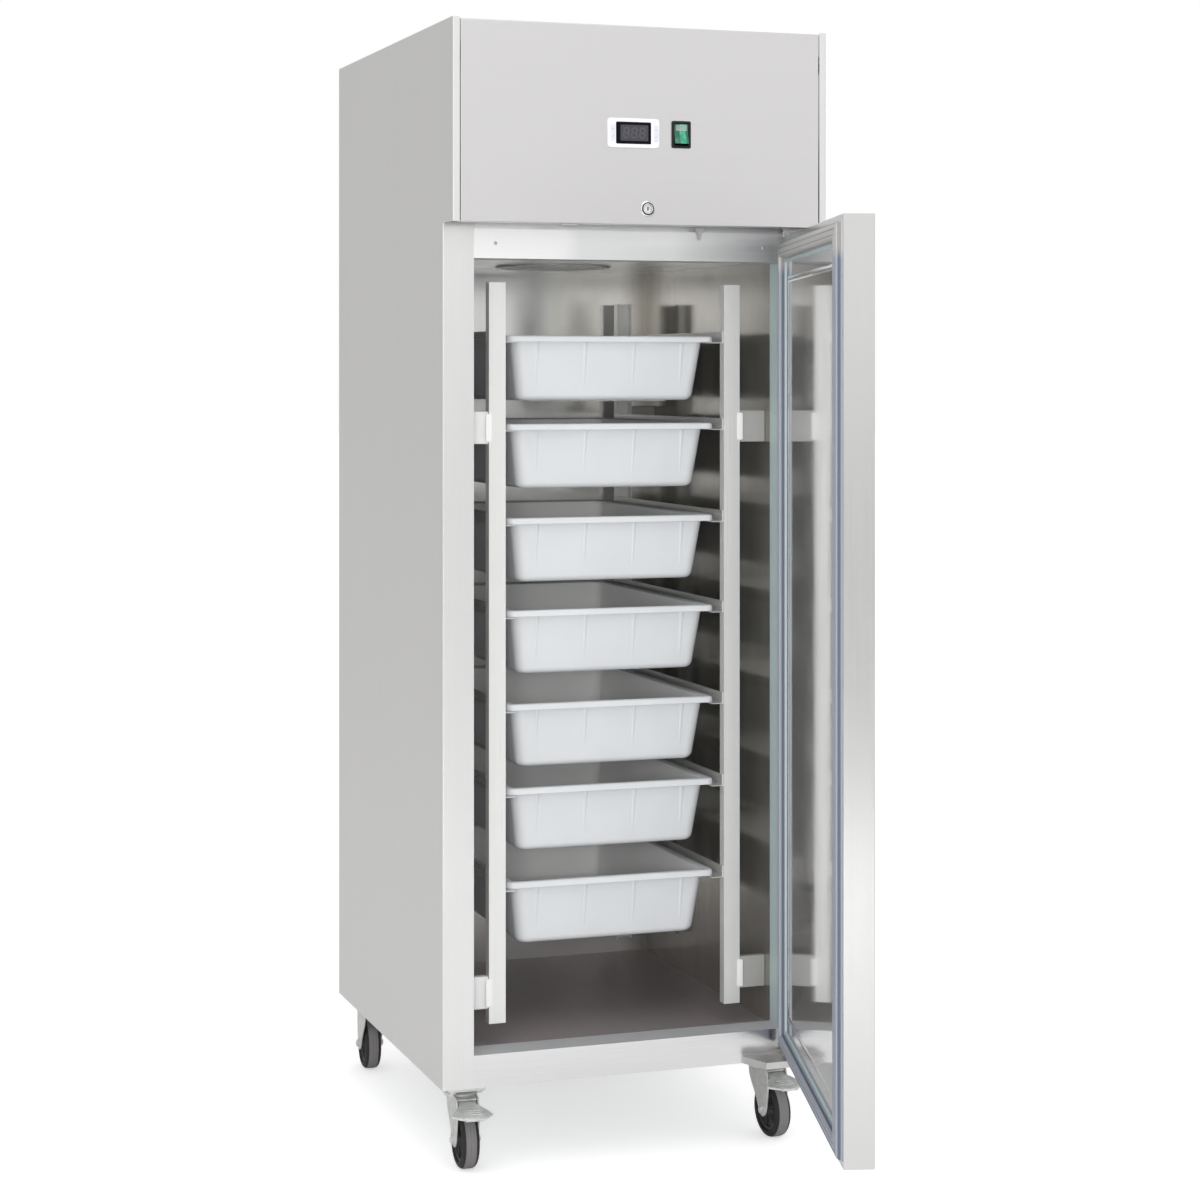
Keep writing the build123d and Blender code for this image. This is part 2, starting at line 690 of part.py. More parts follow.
def castor_places():
    """Swivel centre and heading of each castor. At heading 0 the wheel trails to the front."""
    left, right = CASTOR_X, WIDTH - CASTOR_X
    return {
        "front_left": (left, CASTOR_FRONT_Y, FRONT_CASTOR_TURN),
        "front_right": (right, CASTOR_FRONT_Y, FRONT_CASTOR_TURN + 6),
        "rear_left": (left, CASTOR_REAR_Y, REAR_CASTOR_TURN),
        "rear_right": (right, CASTOR_REAR_Y, REAR_CASTOR_TURN - 7),
    }


def castor_plate():
    """The bolted plate with its fixed race and kingpin."""
    pad = rounded_block(PLATE_SIZE, 6, PLATE_BOTTOM + 3, BODY_BOTTOM)
    smaller = [side - 4 for side in PLATE_SIZE]
    plate = rounded_block(smaller, 6, PLATE_BOTTOM, PLATE_BOTTOM + 3)
    for x in (-24, 24):
        for y in (-34, 34):
            plate += rod(6, (x, y, PLATE_BOTTOM), (x, y, PLATE_BOTTOM - 4))
    race = rod(25, (0, 0, RACE_BOTTOM), (0, 0, PLATE_BOTTOM))
    kingpin = rod(6, (0, 0, KINGPIN_BOTTOM), (0, 0, RACE_BOTTOM))
    kingpin += rod(10, (0, 0, KINGPIN_BOTTOM - 2), (0, 0, KINGPIN_BOTTOM + 2))
    return pad + plate + race + kingpin


def castor_plates():
    return [Pos(x, y, 0) * castor_plate() for x, y, _ in castor_places().values()]


def fork_leg(x):
    """One pressed side of the fork: broad under the crown, sweeping down to a round axle boss."""
    top = CROWN_BOTTOM + 3.5
    side = outline(
        (24, top), (-50, top), (-57, 112), (-56, 84), (-48, 46), (-20, 46), (-8, 84), (14, 108)
    )
    side = fillet(side.vertices().filter_by(lambda v: 50 < v.Y < 118), 9)
    boss = Pos(-CASTOR_TRAIL, WHEEL_RADIUS) * Circle(14)
    return prism_x(side + boss, x, x + FORK_WALL)


def axle_at(x):
    return (x, -CASTOR_TRAIL, WHEEL_RADIUS)


def castor_fork():
    """The swivelling fork with its domed crown and its axle."""
    half = FORK_GAP / 2
    crown = rod(30, (0, 0, CROWN_BOTTOM), (0, 0, RACE_BOTTOM - 0.3))
    crown = fillet(crown.edges().sort_by(Axis.Z)[-1], 4)
    bridge = block((-half, half), (-50, 24), (CROWN_BOTTOM, CROWN_BOTTOM + 3.5))
    fork = crown + bridge + fork_leg(half) + fork_leg(-half - FORK_WALL)
    fork -= rod(6 + PIN_CLEARANCE, (0, 0, CROWN_BOTTOM - 1), (0, 0, RACE_BOTTOM))
    end = half + FORK_WALL
    fork += rod(AXLE_RADIUS, axle_at(-end), axle_at(end))
    for side in (-1, 1):
        fork += rod(8, axle_at(side * end), axle_at(side * (end + 4)))
    pin = rod(3, (-half, *PEDAL_PIVOT), (half, *PEDAL_PIVOT))
    return fork + pin


def castor_wheel():
    """A black tyre with rounded shoulders on a narrower hub, turned as one section."""
    half, hub = WHEEL_WIDTH / 2, HUB_WIDTH / 2
    bore = AXLE_RADIUS + PIN_CLEARANCE
    section = Polyline(
        (-hub, bore), (-hub, 15), (-half + 5, 18), (-half + 5, 33), (-half, 36), (-half, 43)
    )
    shoulder = ThreePointArc((-half, 43), (-half + 2.6, 47.6), (-half + 7, WHEEL_RADIUS))
    tread = Line((-half + 7, WHEEL_RADIUS), (0, WHEEL_RADIUS))
    half_outline = Curve() + [section, shoulder, tread]
    other_half = mirror(half_outline, about=Plane.YZ)
    closing = Line((-hub, bore), (hub, bore))
    face = make_face(half_outline.edges() + other_half.edges() + [closing])
    wheel = revolve(face, Axis.X)
    return Pos(0, -CASTOR_TRAIL, WHEEL_RADIUS) * wheel


def brake_pedal():
    """A pressed pedal on a pin between the fork's legs, with its shoe over the tyre."""
    y, z = PEDAL_PIVOT
    cam = Pos(y, z) * Circle(8)
    shoe = outline((y - 12, z - 9), (y - 7, z - 11), (y + 4, z - 6), (y - 4, z + 7.5))
    tongue = outline((y - 4, z + 7.5), (y - 12, z - 9), (y - 66, z - 12), (y - 68, z - 7))
    half = FORK_GAP / 2 - 0.5
    body = prism_x(cam + shoe + tongue, -half, half)
    tread = outline(
        (y - 20, z - 9.6), (y - 66, z - 12), (y - 70, z - 11), (y - 68, z - 5), (y - 20, z - 1.5)
    )
    wide = prism_x(tread, -27.5, 27.5)
    return body + wide - rod(3 + PIN_CLEARANCE, (-40, y, z), (40, y, z))


def placed(piece, place):
    x, y, turn = place
    return Pos(x, y, 0) * Rot(0, 0, turn) * piece


def fan_blade(radius, hub_radius, hub_length, blades, pitch):
    """A fan turning about Z: a hub with twisted blades, widening to the rim."""
    fan = rod(hub_radius, (0, 0, 0), (0, 0, hub_length))
    width = hub_length / cos(radians(pitch)) * 1.05
    for index in range(blades):
        root = Plane((hub_radius - 2, 0, hub_length / 2), x_dir=(0, 1, 0), z_dir=(1, 0, 0))
        tip = Plane((radius, 0, hub_length / 2), x_dir=(0, 1, 0), z_dir=(1, 0, 0))
        inner = root * Rot(0, 0, pitch) * Rectangle(width, 2)
        outer = tip * Rot(0, 0, pitch * 0.7) * Rectangle(width * 1.9, 2)
        fan += Rot(0, 0, index * 360 / blades) * loft([inner, outer])
    return fan


def evaporator_fan_blade():
    """The fan in the ceiling, with its shaft up into the motor."""
    fan = Pos(0, 0, 1615) * fan_blade(82, 18, 24, 5, 35)
    shaft = rod(3, (0, 0, 1620), (0, 0, 1690))
    return Pos(MIDDLE_X, FAN_CENTRE_Y, 0) * (fan + shaft)


def ceiling_fan_guard():
    """A ring guard under the fan: flat rings on four spokes."""
    sketch = Circle(104) - Circle(94)
    for ring in (74, 54, 34):
        sketch += Circle(ring) - Circle(ring - 4)
    for angle in (0, 90):
        sketch += Rot(0, 0, angle) * Rectangle(196, 5)
    return Pos(MIDDLE_X, FAN_CENTRE_Y, 0) * prism_z(sketch, LINER_CEILING - 4, LINER_CEILING)


def evaporator_housing():
    """The insulated cover over the ceiling fan, with the finned coil and the fan motor under it."""
    x, y = EVAPORATOR_X, EVAPORATOR_Y
    low = DECK + SHEET
    wall = 20
    cover = block(x, y, (low, EVAPORATOR_TOP)) - block(
        (x[0] + wall, x[1] - wall), (y[0] + wall, y[1] - wall), (low - 1, EVAPORATOR_TOP - wall)
    )
    coil = block((x[0] + wall, x[1] - wall), (560, 660), (low, EVAPORATOR_TOP - 50))
    def at(z):
        return (MIDDLE_X, FAN_CENTRE_Y, z)

    strut = block((MIDDLE_X - 110, MIDDLE_X + 110), (FAN_CENTRE_Y - 10, FAN_CENTRE_Y + 10), (low, low + 5))
    motor = strut + rod(28, at(low + 5), at(1705)) - rod(3 + PIN_CLEARANCE, at(low - 1), at(1692))
    return [cover, coil, motor]


def condenser_coil():
    """A finned block with return bends on its left end."""
    x, y, z = CONDENSER_X, CONDENSER_Y, CONDENSER_Z
    coil = block(x, y, z)
    foot = block((x[0], x[1]), y, (DECK + SHEET, z[0]))
    coil += foot
    rows, bend = 6, 14
    pitch = (z[1] - z[0]) / rows
    for row in range(rows):
        height = z[0] + (row + 0.5) * pitch
        loop = Plane((x[0], y[0] + 25, height), x_dir=(0, 0, 1), z_dir=(0, 1, 0))
        arc = loop * CenterArc((0, 0), bend, 180, 180)
        tube = sweep(Plane(arc @ 0, z_dir=arc % 0) * Circle(5), arc)
        coil += tube
    return coil


def condenser_fan_shroud():
    """The plate and ring behind the condenser, and the motor on three arms."""
    x, z = CONDENSER_X, CONDENSER_Z
    middle = (sum(x) / 2, sum(z) / 2)
    y = CONDENSER_Y[1]
    bore = CONDENSER_FAN_RADIUS + 6
    plate = Pos(*middle) * (Rectangle(x[1] - x[0], z[1] - z[0]) - Circle(bore))
    shroud = plate_xz(plate, y, y + 2)
    ring = Pos(*middle) * (Circle(bore + 2) - Circle(bore))
    shroud += plate_xz(ring, y, y + 38)
    arms = Sketch()
    for angle in (90, 210, 330):
        arms += Rot(0, 0, angle) * Pos(bore / 2, 0) * Rectangle(bore + 2, 12)
    arms += Circle(30)
    shroud += plate_xz(Pos(*middle) * arms, y + 38, y + 41)
    shroud += rod(32, (middle[0], y + 41, middle[1]), (middle[0], y + 86, middle[1]))
    return shroud - rod(3 + PIN_CLEARANCE, (middle[0], y, middle[1]), (middle[0], y + 70, middle[1]))


def condenser_fan_blade():
    """The condenser's fan, turning about Y, with its shaft into the motor."""
    x, z, y = sum(CONDENSER_X) / 2, sum(CONDENSER_Z) / 2, CONDENSER_Y[1]
    fan = fan_blade(CONDENSER_FAN_RADIUS, 26, 26, 5, 30)
    fan = Pos(x, y + 8, z) * Rot(-90, 0, 0) * fan
    return fan + rod(3, (x, y + 20, z), (x, y + 68, z))


def compressor():
    """A hermetic shell on a foot plate with rubber feet, and a terminal cover on its side."""
    low = DECK + SHEET
    def at(z):
        return (0, 0, z)

    shell = rod(COMPRESSOR_RADIUS, at(1675), at(1815))
    shell = fillet(shell.edges().filter_by(GeomType.CIRCLE), 38)
    plate = rounded_block((210, 150), 10, low + 12, low + 16)
    feet = [rod(12, (x, y, low), (x, y, low + 12)) for x in (-88, 88) for y in (-58, 58)]
    saddle = rod(60, at(low + 16), at(1690))
    cover = block((-30, 30), (-COMPRESSOR_RADIUS - 22, -COMPRESSOR_RADIUS + 20), (1715, 1775))
    body = shell + plate + saddle + cover + feet
    return Pos(COMPRESSOR_X, COMPRESSOR_Y, 0) * body


def electrical_box():
    """The terminal box behind the switch, with a cable gland on its back."""
    box = block((460, 640), (16, 90), (DECK + SHEET, 1780))
    box = fillet(box.edges().filter_by(Axis.Z), 4)
    return box + rod(11, (620, 90, 1740), (620, 104, 1740))


def pipe(points, bend):
    """A copper tube along straight runs with round bends."""
    path = FilletPolyline(*points, radius=bend)
    return sweep(Plane(path @ 0, z_dir=path % 0) * Circle(PIPE_RADIUS), path)


def refrigerant_pipes():
    """Discharge, liquid and suction lines, with the filter drier in the liquid line."""
    top = 1815
    x_coil, y_coil = CONDENSER_X[1], sum(CONDENSER_Y) / 2
    face = EVAPORATOR_Y[0]
    discharge = pipe(
        [(COMPRESSOR_X - 20, COMPRESSOR_Y, top), (COMPRESSOR_X - 20, COMPRESSOR_Y, 1930),
         (COMPRESSOR_X - 20, y_coil, 1930), (x_coil, y_coil, 1930)], 22
    )
    drier_x, drier_y = 420, 110
    liquid = pipe([(x_coil, y_coil, 1700), (drier_x, y_coil, 1700), (drier_x, drier_y, 1700)], 16)
    drier = rod(11, (drier_x, drier_y, 1700), (drier_x, drier_y + 110, 1700))
    capillary = pipe(
        [
            (drier_x, drier_y + 110, 1700), (drier_x, 260, 1700), (drier_x, 260, 1780),
            (drier_x, face, 1780),
        ],
        12,
    )
    suction = pipe(
        [(COMPRESSOR_X + 25, COMPRESSOR_Y, top), (COMPRESSOR_X + 25, COMPRESSOR_Y, 1860),
         (COMPRESSOR_X + 25, face - 16, 1860), (COMPRESSOR_X + 25, face - 16, 1760),
         (500, face - 16, 1760), (500, face, 1760)], 9
    )
    return [discharge, liquid + drier + capillary, suction]


def swung_open(piece):
    """A door piece, turned about the hinge pins to where the door stands."""
    hinge = Pos(PIVOT_X, PIVOT_Y, 0) * Rot(0, 0, DOOR_ANGLE)
    return hinge * Pos(-PIVOT_X, -PIVOT_Y, 0) * piece


def nodes():
    """Every sub-part by name, as a list of its solids."""
    parts = {
        "left_side_panel": left_side_panel(),
        "right_side_panel": right_copy(left_side_panel()),
        "back_panel": back_panel(),
        "base_panel": base_panel(),
        "top_rail": top_rail(),
        "sill_rail": sill_rail(),
        "breaker_frame": breaker_frame(),
        "liner_walls": liner_walls(),
        "liner_ceiling": liner_ceiling(),
        "liner_floor": liner_floor(),
        "foam_insulation": foam_insulation(),
        "unit_deck": unit_deck(),
        "rear_grille": rear_grille(),
        "fascia_panel": fascia_panel(),
        "compressor": compressor(),
        "condenser_coil": condenser_coil(),
        "condenser_fan_shroud": condenser_fan_shroud(),
        "condenser_fan_blade": condenser_fan_blade(),
        "refrigerant_pipes": refrigerant_pipes(),
        "electrical_box": electrical_box(),
        "evaporator_housing": evaporator_housing(),
        "evaporator_fan_blade": evaporator_fan_blade(),
        "ceiling_fan_guard": ceiling_fan_guard(),
        "controller_bezel": controller_bezel(),
        "display_window": display_window(),
        "controller_key_left": controller_key(KEY_X[0]),
        "controller_key_right": controller_key(KEY_X[1]),
        "switch_bezel": switch_bezel(),
        "switch_rocker": switch_rocker(),
        "lock_bezel": lock_bezel(),
        "lock_cylinder": lock_cylinder(),
        "hinge_brackets": hinge_brackets(),
        "rack_posts": rack_posts(),
        "post_brackets": post_brackets(),
        "tray_runners": tray_runners(),
        "castor_plates": castor_plates(),
    }
    door = {
        "door_outer_skin": door_outer_skin(),
        "door_edge_frame": door_edge_frame(),
        "door_inner_skin": door_inner_skin(),
        "door_foam": door_foam(),
        "door_gasket": door_gasket(),
        "door_handle": door_handle(),
        "door_bushes": door_bushes(),
    }
    for name, piece in door.items():
        pieces = piece if isinstance(piece, list) else [piece]
        parts[name] = [swung_open(solid) for solid in pieces]
    for number, tray_top in enumerate(TRAY_TOPS, 1):
        parts[f"tray_{number}"] = fish_tray(tray_top)
    for name, place in castor_places().items():
        parts[f"castor_fork_{name}"] = placed(castor_fork(), place)
        parts[f"castor_wheel_{name}"] = placed(castor_wheel(), place)
        if name.startswith("front"):
            parts[f"brake_pedal_{name}"] = placed(brake_pedal(), place)
    return {
        name: [solid for piece in (part if isinstance(part, list) else [part]) for solid in piece.solids()]
        for name, part in parts.items()
    }


def origin_shift(parts):
    """The move that puts the origin under the middle of the whole refrigerator as it stands."""
    boxes = [solid.bounding_box() for solids in parts.values() for solid in solids]
    low = [min(tuple(box.min)[axis] for box in boxes) for axis in range(3)]
    high = [max(tuple(box.max)[axis] for box in boxes) for axis in range(3)]
    return -(low[0] + high[0]) / 2, -(low[1] + high[1]) / 2, -low[2]


def main():
    os.makedirs("parts", exist_ok=True)
    parts = nodes()
    shift = origin_shift(parts)
    print("origin shift", [round(value, 4) for value in shift])
    for name, solids in parts.items():
        moved = [Pos(*shift) * solid for solid in solids]
        piece = moved[0] if len(moved) == 1 else Compound(children=moved)
        export_step(piece, f"parts/{name}.step")


main()
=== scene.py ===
import json
import math

import bpy
import numpy as np
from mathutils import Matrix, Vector


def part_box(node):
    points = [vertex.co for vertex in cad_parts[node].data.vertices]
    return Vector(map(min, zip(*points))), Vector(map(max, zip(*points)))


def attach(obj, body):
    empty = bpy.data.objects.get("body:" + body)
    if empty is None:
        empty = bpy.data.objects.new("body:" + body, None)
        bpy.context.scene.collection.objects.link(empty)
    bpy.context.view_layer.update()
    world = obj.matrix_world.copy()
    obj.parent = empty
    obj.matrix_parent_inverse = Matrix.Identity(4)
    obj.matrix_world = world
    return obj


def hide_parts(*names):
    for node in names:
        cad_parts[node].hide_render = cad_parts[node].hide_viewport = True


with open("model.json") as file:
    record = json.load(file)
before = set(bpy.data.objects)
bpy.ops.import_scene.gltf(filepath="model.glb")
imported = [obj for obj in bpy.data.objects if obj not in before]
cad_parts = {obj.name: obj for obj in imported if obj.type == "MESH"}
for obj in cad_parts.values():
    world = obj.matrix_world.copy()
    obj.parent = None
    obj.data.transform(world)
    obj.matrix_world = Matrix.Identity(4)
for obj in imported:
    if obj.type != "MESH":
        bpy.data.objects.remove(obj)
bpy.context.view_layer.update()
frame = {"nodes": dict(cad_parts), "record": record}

# Sizes are written in millimetres, as in the part's source: x from the left side, y from the body's
# front, z from the floor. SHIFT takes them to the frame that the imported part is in.
WIDTH, DEPTH = 700, 748
BACK_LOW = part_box("back_panel")[0] * 1000
BACK_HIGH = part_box("back_panel")[1] * 1000
SHIFT = np.array([(BACK_LOW.x + BACK_HIGH.x) / 2 - WIDTH / 2, BACK_HIGH.y - DEPTH, 0.0])
MIDDLE_X = WIDTH / 2
CONTROL_Z, HEAD_FRONT, SWITCH_X = 1819, -62, 420
RIGHT, UP, DOWN, FORWARD = (1, 0, 0), (0, 0, 1), (0, 0, -1), (0, -1, 0)

# The camera, solved from the photograph: the spot in millimetres, the rest in degrees and pixels
CAMERA_SPOT = (-1233.2, -4264.5, 1395.7)
CAMERA_YAW = 18.80
FOCAL_PIXELS = 2556.1
PRINCIPAL_X, HORIZON_Y = 561.7, 374.6
IMAGE_SIZE = 1200


def metres(points):
    """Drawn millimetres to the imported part's metres."""
    return (np.asarray(points, float) + SHIFT) / 1000


def add_object(name, data):
    made = bpy.data.objects.new(name, data)
    bpy.context.scene.collection.objects.link(made)
    return made


def place_camera():
    """A level camera: its lens shift, not a tilt, brings the object into the frame."""
    data = bpy.data.cameras.new("camera")
    data.sensor_width = 36
    data.lens = FOCAL_PIXELS / IMAGE_SIZE * data.sensor_width
    data.shift_x = (IMAGE_SIZE / 2 - PRINCIPAL_X) / IMAGE_SIZE
    data.shift_y = -(IMAGE_SIZE / 2 - HORIZON_Y) / IMAGE_SIZE
    data.clip_start, data.clip_end = 0.1, 60
    camera = add_object("camera", data)
    camera.location = metres([CAMERA_SPOT])[0]
    camera.rotation_euler = (math.pi / 2, 0, -math.radians(CAMERA_YAW))
    bpy.context.scene.camera = camera


# Materials: every pattern is worked out from Object coordinates, in metres


def add_node(tree, kind, **values):
    """Adds a node and sets its properties, or its sockets of the same names."""
    made = tree.nodes.new("ShaderNode" + kind)
    for key, value in values.items():
        if hasattr(made, key):
            setattr(made, key, value)
        else:
            made.inputs[key.replace("_", " ")].default_value = value
    return made


def map_range(tree, value, start, end, low, high, curve="LINEAR"):
    """Maps start..end of a value to low..high."""
    made = add_node(tree, "MapRange", interpolation_type=curve, From_Min=start, From_Max=end,
                    To_Min=low, To_Max=high)
    tree.links.new(value, made.inputs["Value"])
    return made.outputs["Result"]


def split_by_camera(tree, unseen, seen, output):
    """One shader for what the camera sees, and another for light and reflections."""
    path = add_node(tree, "LightPath")
    mix = add_node(tree, "MixShader")
    tree.links.new(path.outputs["Is Camera Ray"], mix.inputs["Fac"])
    tree.links.new(unseen.outputs[0], mix.inputs[1])
    tree.links.new(seen.outputs[0], mix.inputs[2])
    tree.links.new(mix.outputs[0], output.inputs["Surface"])


def grey(level):
    return (level, level, level)


def toned(colour, share):
    return tuple(channel * share for channel in colour)


class Recipe:
    """Writes one material's nodes, from left to right."""

    def __init__(self, name, colour, roughness, metallic=0.0, **constants):
        self.material = bpy.data.materials.new(name)
        self.material.use_nodes = True
        self.tree = self.material.node_tree
        self.shader = self.tree.nodes["Principled BSDF"]
        constants |= {"Base_Color": (*colour, 1), "Roughness": roughness, "Metallic": metallic}
        for socket, value in constants.items():
            self.shader.inputs[socket.replace("_", " ")].default_value = value
        self.colour, self.roughness = colour, roughness
        self.normal = None

    def join(self, source, target):
        self.tree.links.new(source, target)

    def coordinates(self):
        return add_node(self.tree, "TexCoord").outputs["Object"]

    def noise(self, scale, detail=3.0, rough=0.55):
        """A soft random pattern, with its own scale in each direction."""
        mapping = add_node(self.tree, "Mapping", Scale=scale)
        self.join(self.coordinates(), mapping.inputs["Vector"])
        made = add_node(self.tree, "TexNoise", Scale=1.0, Detail=detail, Roughness=rough)
        self.join(mapping.outputs["Vector"], made.inputs["Vector"])
        return made.outputs["Fac"]

    def spread(self, value, low, high):
        """Maps the middle of a noise to low..high."""
        return map_range(self.tree, value, 0.3, 0.7, low, high)

    def tint_by(self, share, colour):
        """Mixes the base colour with another by a share from 0 to 1."""
        mix = add_node(self.tree, "Mix", data_type="RGBA")
        source = self.shader.inputs["Base Color"]
        before, other = [s for s in mix.inputs if s.type == "RGBA"]
        if source.links:
            self.join(source.links[0].from_socket, before)
        before.default_value, other.default_value = (*self.colour, 1), (*colour, 1)
        self.join(share, mix.inputs["Factor"])
        self.join([s for s in mix.outputs if s.type == "RGBA"][0], source)

    def tint(self, pattern, colour, amount=1.0):
        """Mixes the base colour with another by a pattern."""
        self.tint_by(self.spread(pattern, 0, amount), colour)

    def ramp(self, axis, start, end):
        """0 before one place on an axis and 1 after another, in metres."""
        split = add_node(self.tree, "SeparateXYZ")
        self.join(self.coordinates(), split.inputs[0])
        return map_range(self.tree, split.outputs[axis], start, end, 0, 1)

    def tint_zones(self, zones):
        """A zone is an axis, a start, an end, and the tone that the surface takes beyond them."""
        for axis, start, end, tone in zones:
            self.tint_by(self.ramp(axis, start, end), tone)

    def vary(self, pattern, swing):
        """Lets roughness wander by a pattern."""
        self.join(self.spread(pattern, self.roughness - swing, self.roughness + swing),
                  self.shader.inputs["Roughness"])

    def bump(self, pattern, distance, strength=1.0):
        """Adds relief. Several calls are chained."""
        made = add_node(self.tree, "Bump", Strength=strength, Distance=distance)
        self.join(pattern, made.inputs["Height"])
        if self.normal:
            self.join(self.normal, made.inputs["Normal"])
        self.normal = made.outputs["Normal"]
        self.join(self.normal, self.shader.inputs["Normal"])


ALONG_X, ALONG_Y, ALONG_Z = (3.0, 900, 900), (900, 3.0, 900), (900, 900, 3.0)


def brushed_steel(name, colour, roughness, grain=ALONG_Z, relief=0.00002, stain=0.93, metallic=1.0,
                  grain_tint=0.86, zones=()):
    """Satin stainless: fine grain in one direction, and faint wiping marks."""
    steel = Recipe(name, colour, roughness, metallic)
    steel.tint_zones(zones)
    lines = steel.noise(grain, 4.0, rough=0.7)
    clouds = steel.noise((3.1, 3.1, 1.3))
    steel.tint(clouds, toned(colour, stain), 0.3 if zones else 0.6)
    steel.tint(lines, toned(colour, grain_tint), 0.15 if zones else 0.5)
    steel.vary(lines, 0.07)
    steel.bump(lines, relief, 0.35)
    return steel.material


def bright_steel(name, colour, roughness, waves=0.0012, smears=0.05, metallic=1.0, zones=()):
    """Bright annealed stainless: mirror-like, with the slow waves of thin sheet."""
    steel = Recipe(name, colour, roughness, metallic)
    steel.tint_zones(zones)
    wiped = steel.noise((14, 14, 5), 4.0)
    steel.vary(wiped, smears)
    steel.tint(wiped, toned(colour, 0.94), 0.2 if zones else 0.7)
    steel.bump(steel.noise((2.6, 2.6, 1.1), 1.0), waves)
    steel.bump(steel.noise((420, 420, 8), 2.0), 0.000006, 0.5)
    return steel.material


def panel_steel(name, side, front, foot):
    """The side panels: the folded front edges are painted brighter than the flat sides as painted light, and
    the left flat side is painted darker towards the floor as painted shade.
    """
    edge = WIDTH / 2000
    zones = [("Z", 1.7, 0.5, toned(side, foot)), ("X", -edge + 0.0002, -edge + 0.001, front),
             ("X", edge - 0.001, edge - 0.0002, side)]
    return brushed_steel(name, side, 0.34, zones=zones)


def rail_steel(name, light, shade, far):
    """The rail over the door: bright, and painted darker beyond its left third and nearly black at its right
    end, as a painted reflection of the open door.
    """
    return brushed_steel(name, light, 0.16, ALONG_X, 0.000008, metallic=0.3,
                         zones=[("X", -0.125, -0.095, shade), ("X", 0.08, 0.27, far)])


def wall_steel(name, back, left, right):
    """The bright liner, with its side walls painted darker as painted shade, the right one browner."""
    return bright_steel(name, back, 0.15, 0.0004, metallic=0.8,
                        zones=[("X", -0.235, -0.285, left), ("X", 0.235, 0.285, right)])


def breaker_strip(name, jamb, ends):
    """The moulded strip round the opening: greyer at its foot and head, where the sheets tuck into it."""
    strip = Recipe(name, jamb, 0.38)
    strip.tint_zones([("Z", 0.213, 0.209, ends), ("Z", 1.597, 1.599, ends)])
    strip.tint(strip.noise((9, 9, 9), 2.0), jamb, 0.1)
    strip.bump(strip.noise((900, 900, 900), 2.0), 0.00003, 0.5)
    return strip.material


def zinc_plate(name, colour, roughness, metallic=1.0, contrast=0.82):
    """Electroplated or galvanised steel, with its soft mottling."""
    zinc = Recipe(name, colour, roughness, metallic)
    spangle = zinc.noise((70, 70, 70), 2.0)
    zinc.tint(spangle, toned(colour, contrast), 0.8)
    zinc.vary(spangle, 0.08)
    zinc.bump(zinc.noise((600, 600, 600), 2.0), 0.00002, 0.4)
    return zinc.material


def plastic(name, colour, roughness, relief=0.00003, fine=900, cloud=0.95, zones=(), **constants):
    """Injection-moulded plastic or rubber: a fine texture and a faint change of tone."""
    mould = Recipe(name, colour, roughness, **constants)
    mould.tint_zones(zones)
    mould.tint(mould.noise((9, 9, 9), 2.0), toned(colour, cloud), 0.15 if zones else 0.8)
    texture = mould.noise((fine, fine, fine), 2.0)
    mould.vary(texture, 0.05)
    mould.bump(texture, relief, 0.5)
    return mould.material


def painted_highlight_lens(name, colour, glow):
    """The rocker's green lens: deeper at its ends, with a painted highlight as a lighter band down its
    middle.
    """
    lens = Recipe(name, colour, 0.12, Coat_Weight=0.6)
    middle = float(metres([(SWITCH_X + 2.5, 0, 0)])[0][0])
    # Painted highlight: the lens's middle is tinted lighter, and beyond it back to the deeper green.
    lens.tint(lens.ramp("X", middle - 0.009, middle - 0.002), glow)
    lens.tint(lens.ramp("X", middle + 0.002, middle + 0.010), colour)
    lens.tint(lens.noise((260, 260, 90)), (0.0, 0.09, 0.05), 0.7)
    lens.bump(lens.noise((300, 300, 120), 2.0), 0.0002, 0.4)
    return lens.material


LOOKS = {}


def look(maker, name, *values, **constants):
    LOOKS[name] = maker(name, *values, **constants)


# Sheet metal and castings
# Side panels: the brighter front edges are painted light, and the darker foot is painted shade.
look(panel_steel, "side_steel", (0.80, 0.795, 0.775), (0.90, 0.90, 0.895), 0.93)
look(brushed_steel, "front_steel", (0.90, 0.895, 0.90), 0.2, ALONG_X)
look(bright_steel, "ceiling_steel", (0.95, 0.955, 0.95), 0.12, 0.0003, 0.04, 0.1)
# Painted reflection of the open door on the rail: a darker middle and a nearly black right end.
look(rail_steel, "rail_steel", grey(0.84), (0.70, 0.71, 0.71), (0.17, 0.175, 0.185))
look(brushed_steel, "fascia_steel", (0.765, 0.752, 0.755), 0.36, ALONG_X, 0.0000015, 0.985, grain_tint=0.97)
look(brushed_steel, "door_steel", (0.755, 0.753, 0.745), 0.2, grain_tint=0.94)
# Painted shade on the liner's side walls.
look(wall_steel, "liner_steel", (0.94, 0.935, 0.92), (0.36, 0.34, 0.345), (0.40, 0.385, 0.345))
look(bright_steel, "door_liner_steel", grey(0.88), 0.07, 0.0006, 0.02, 0.88)
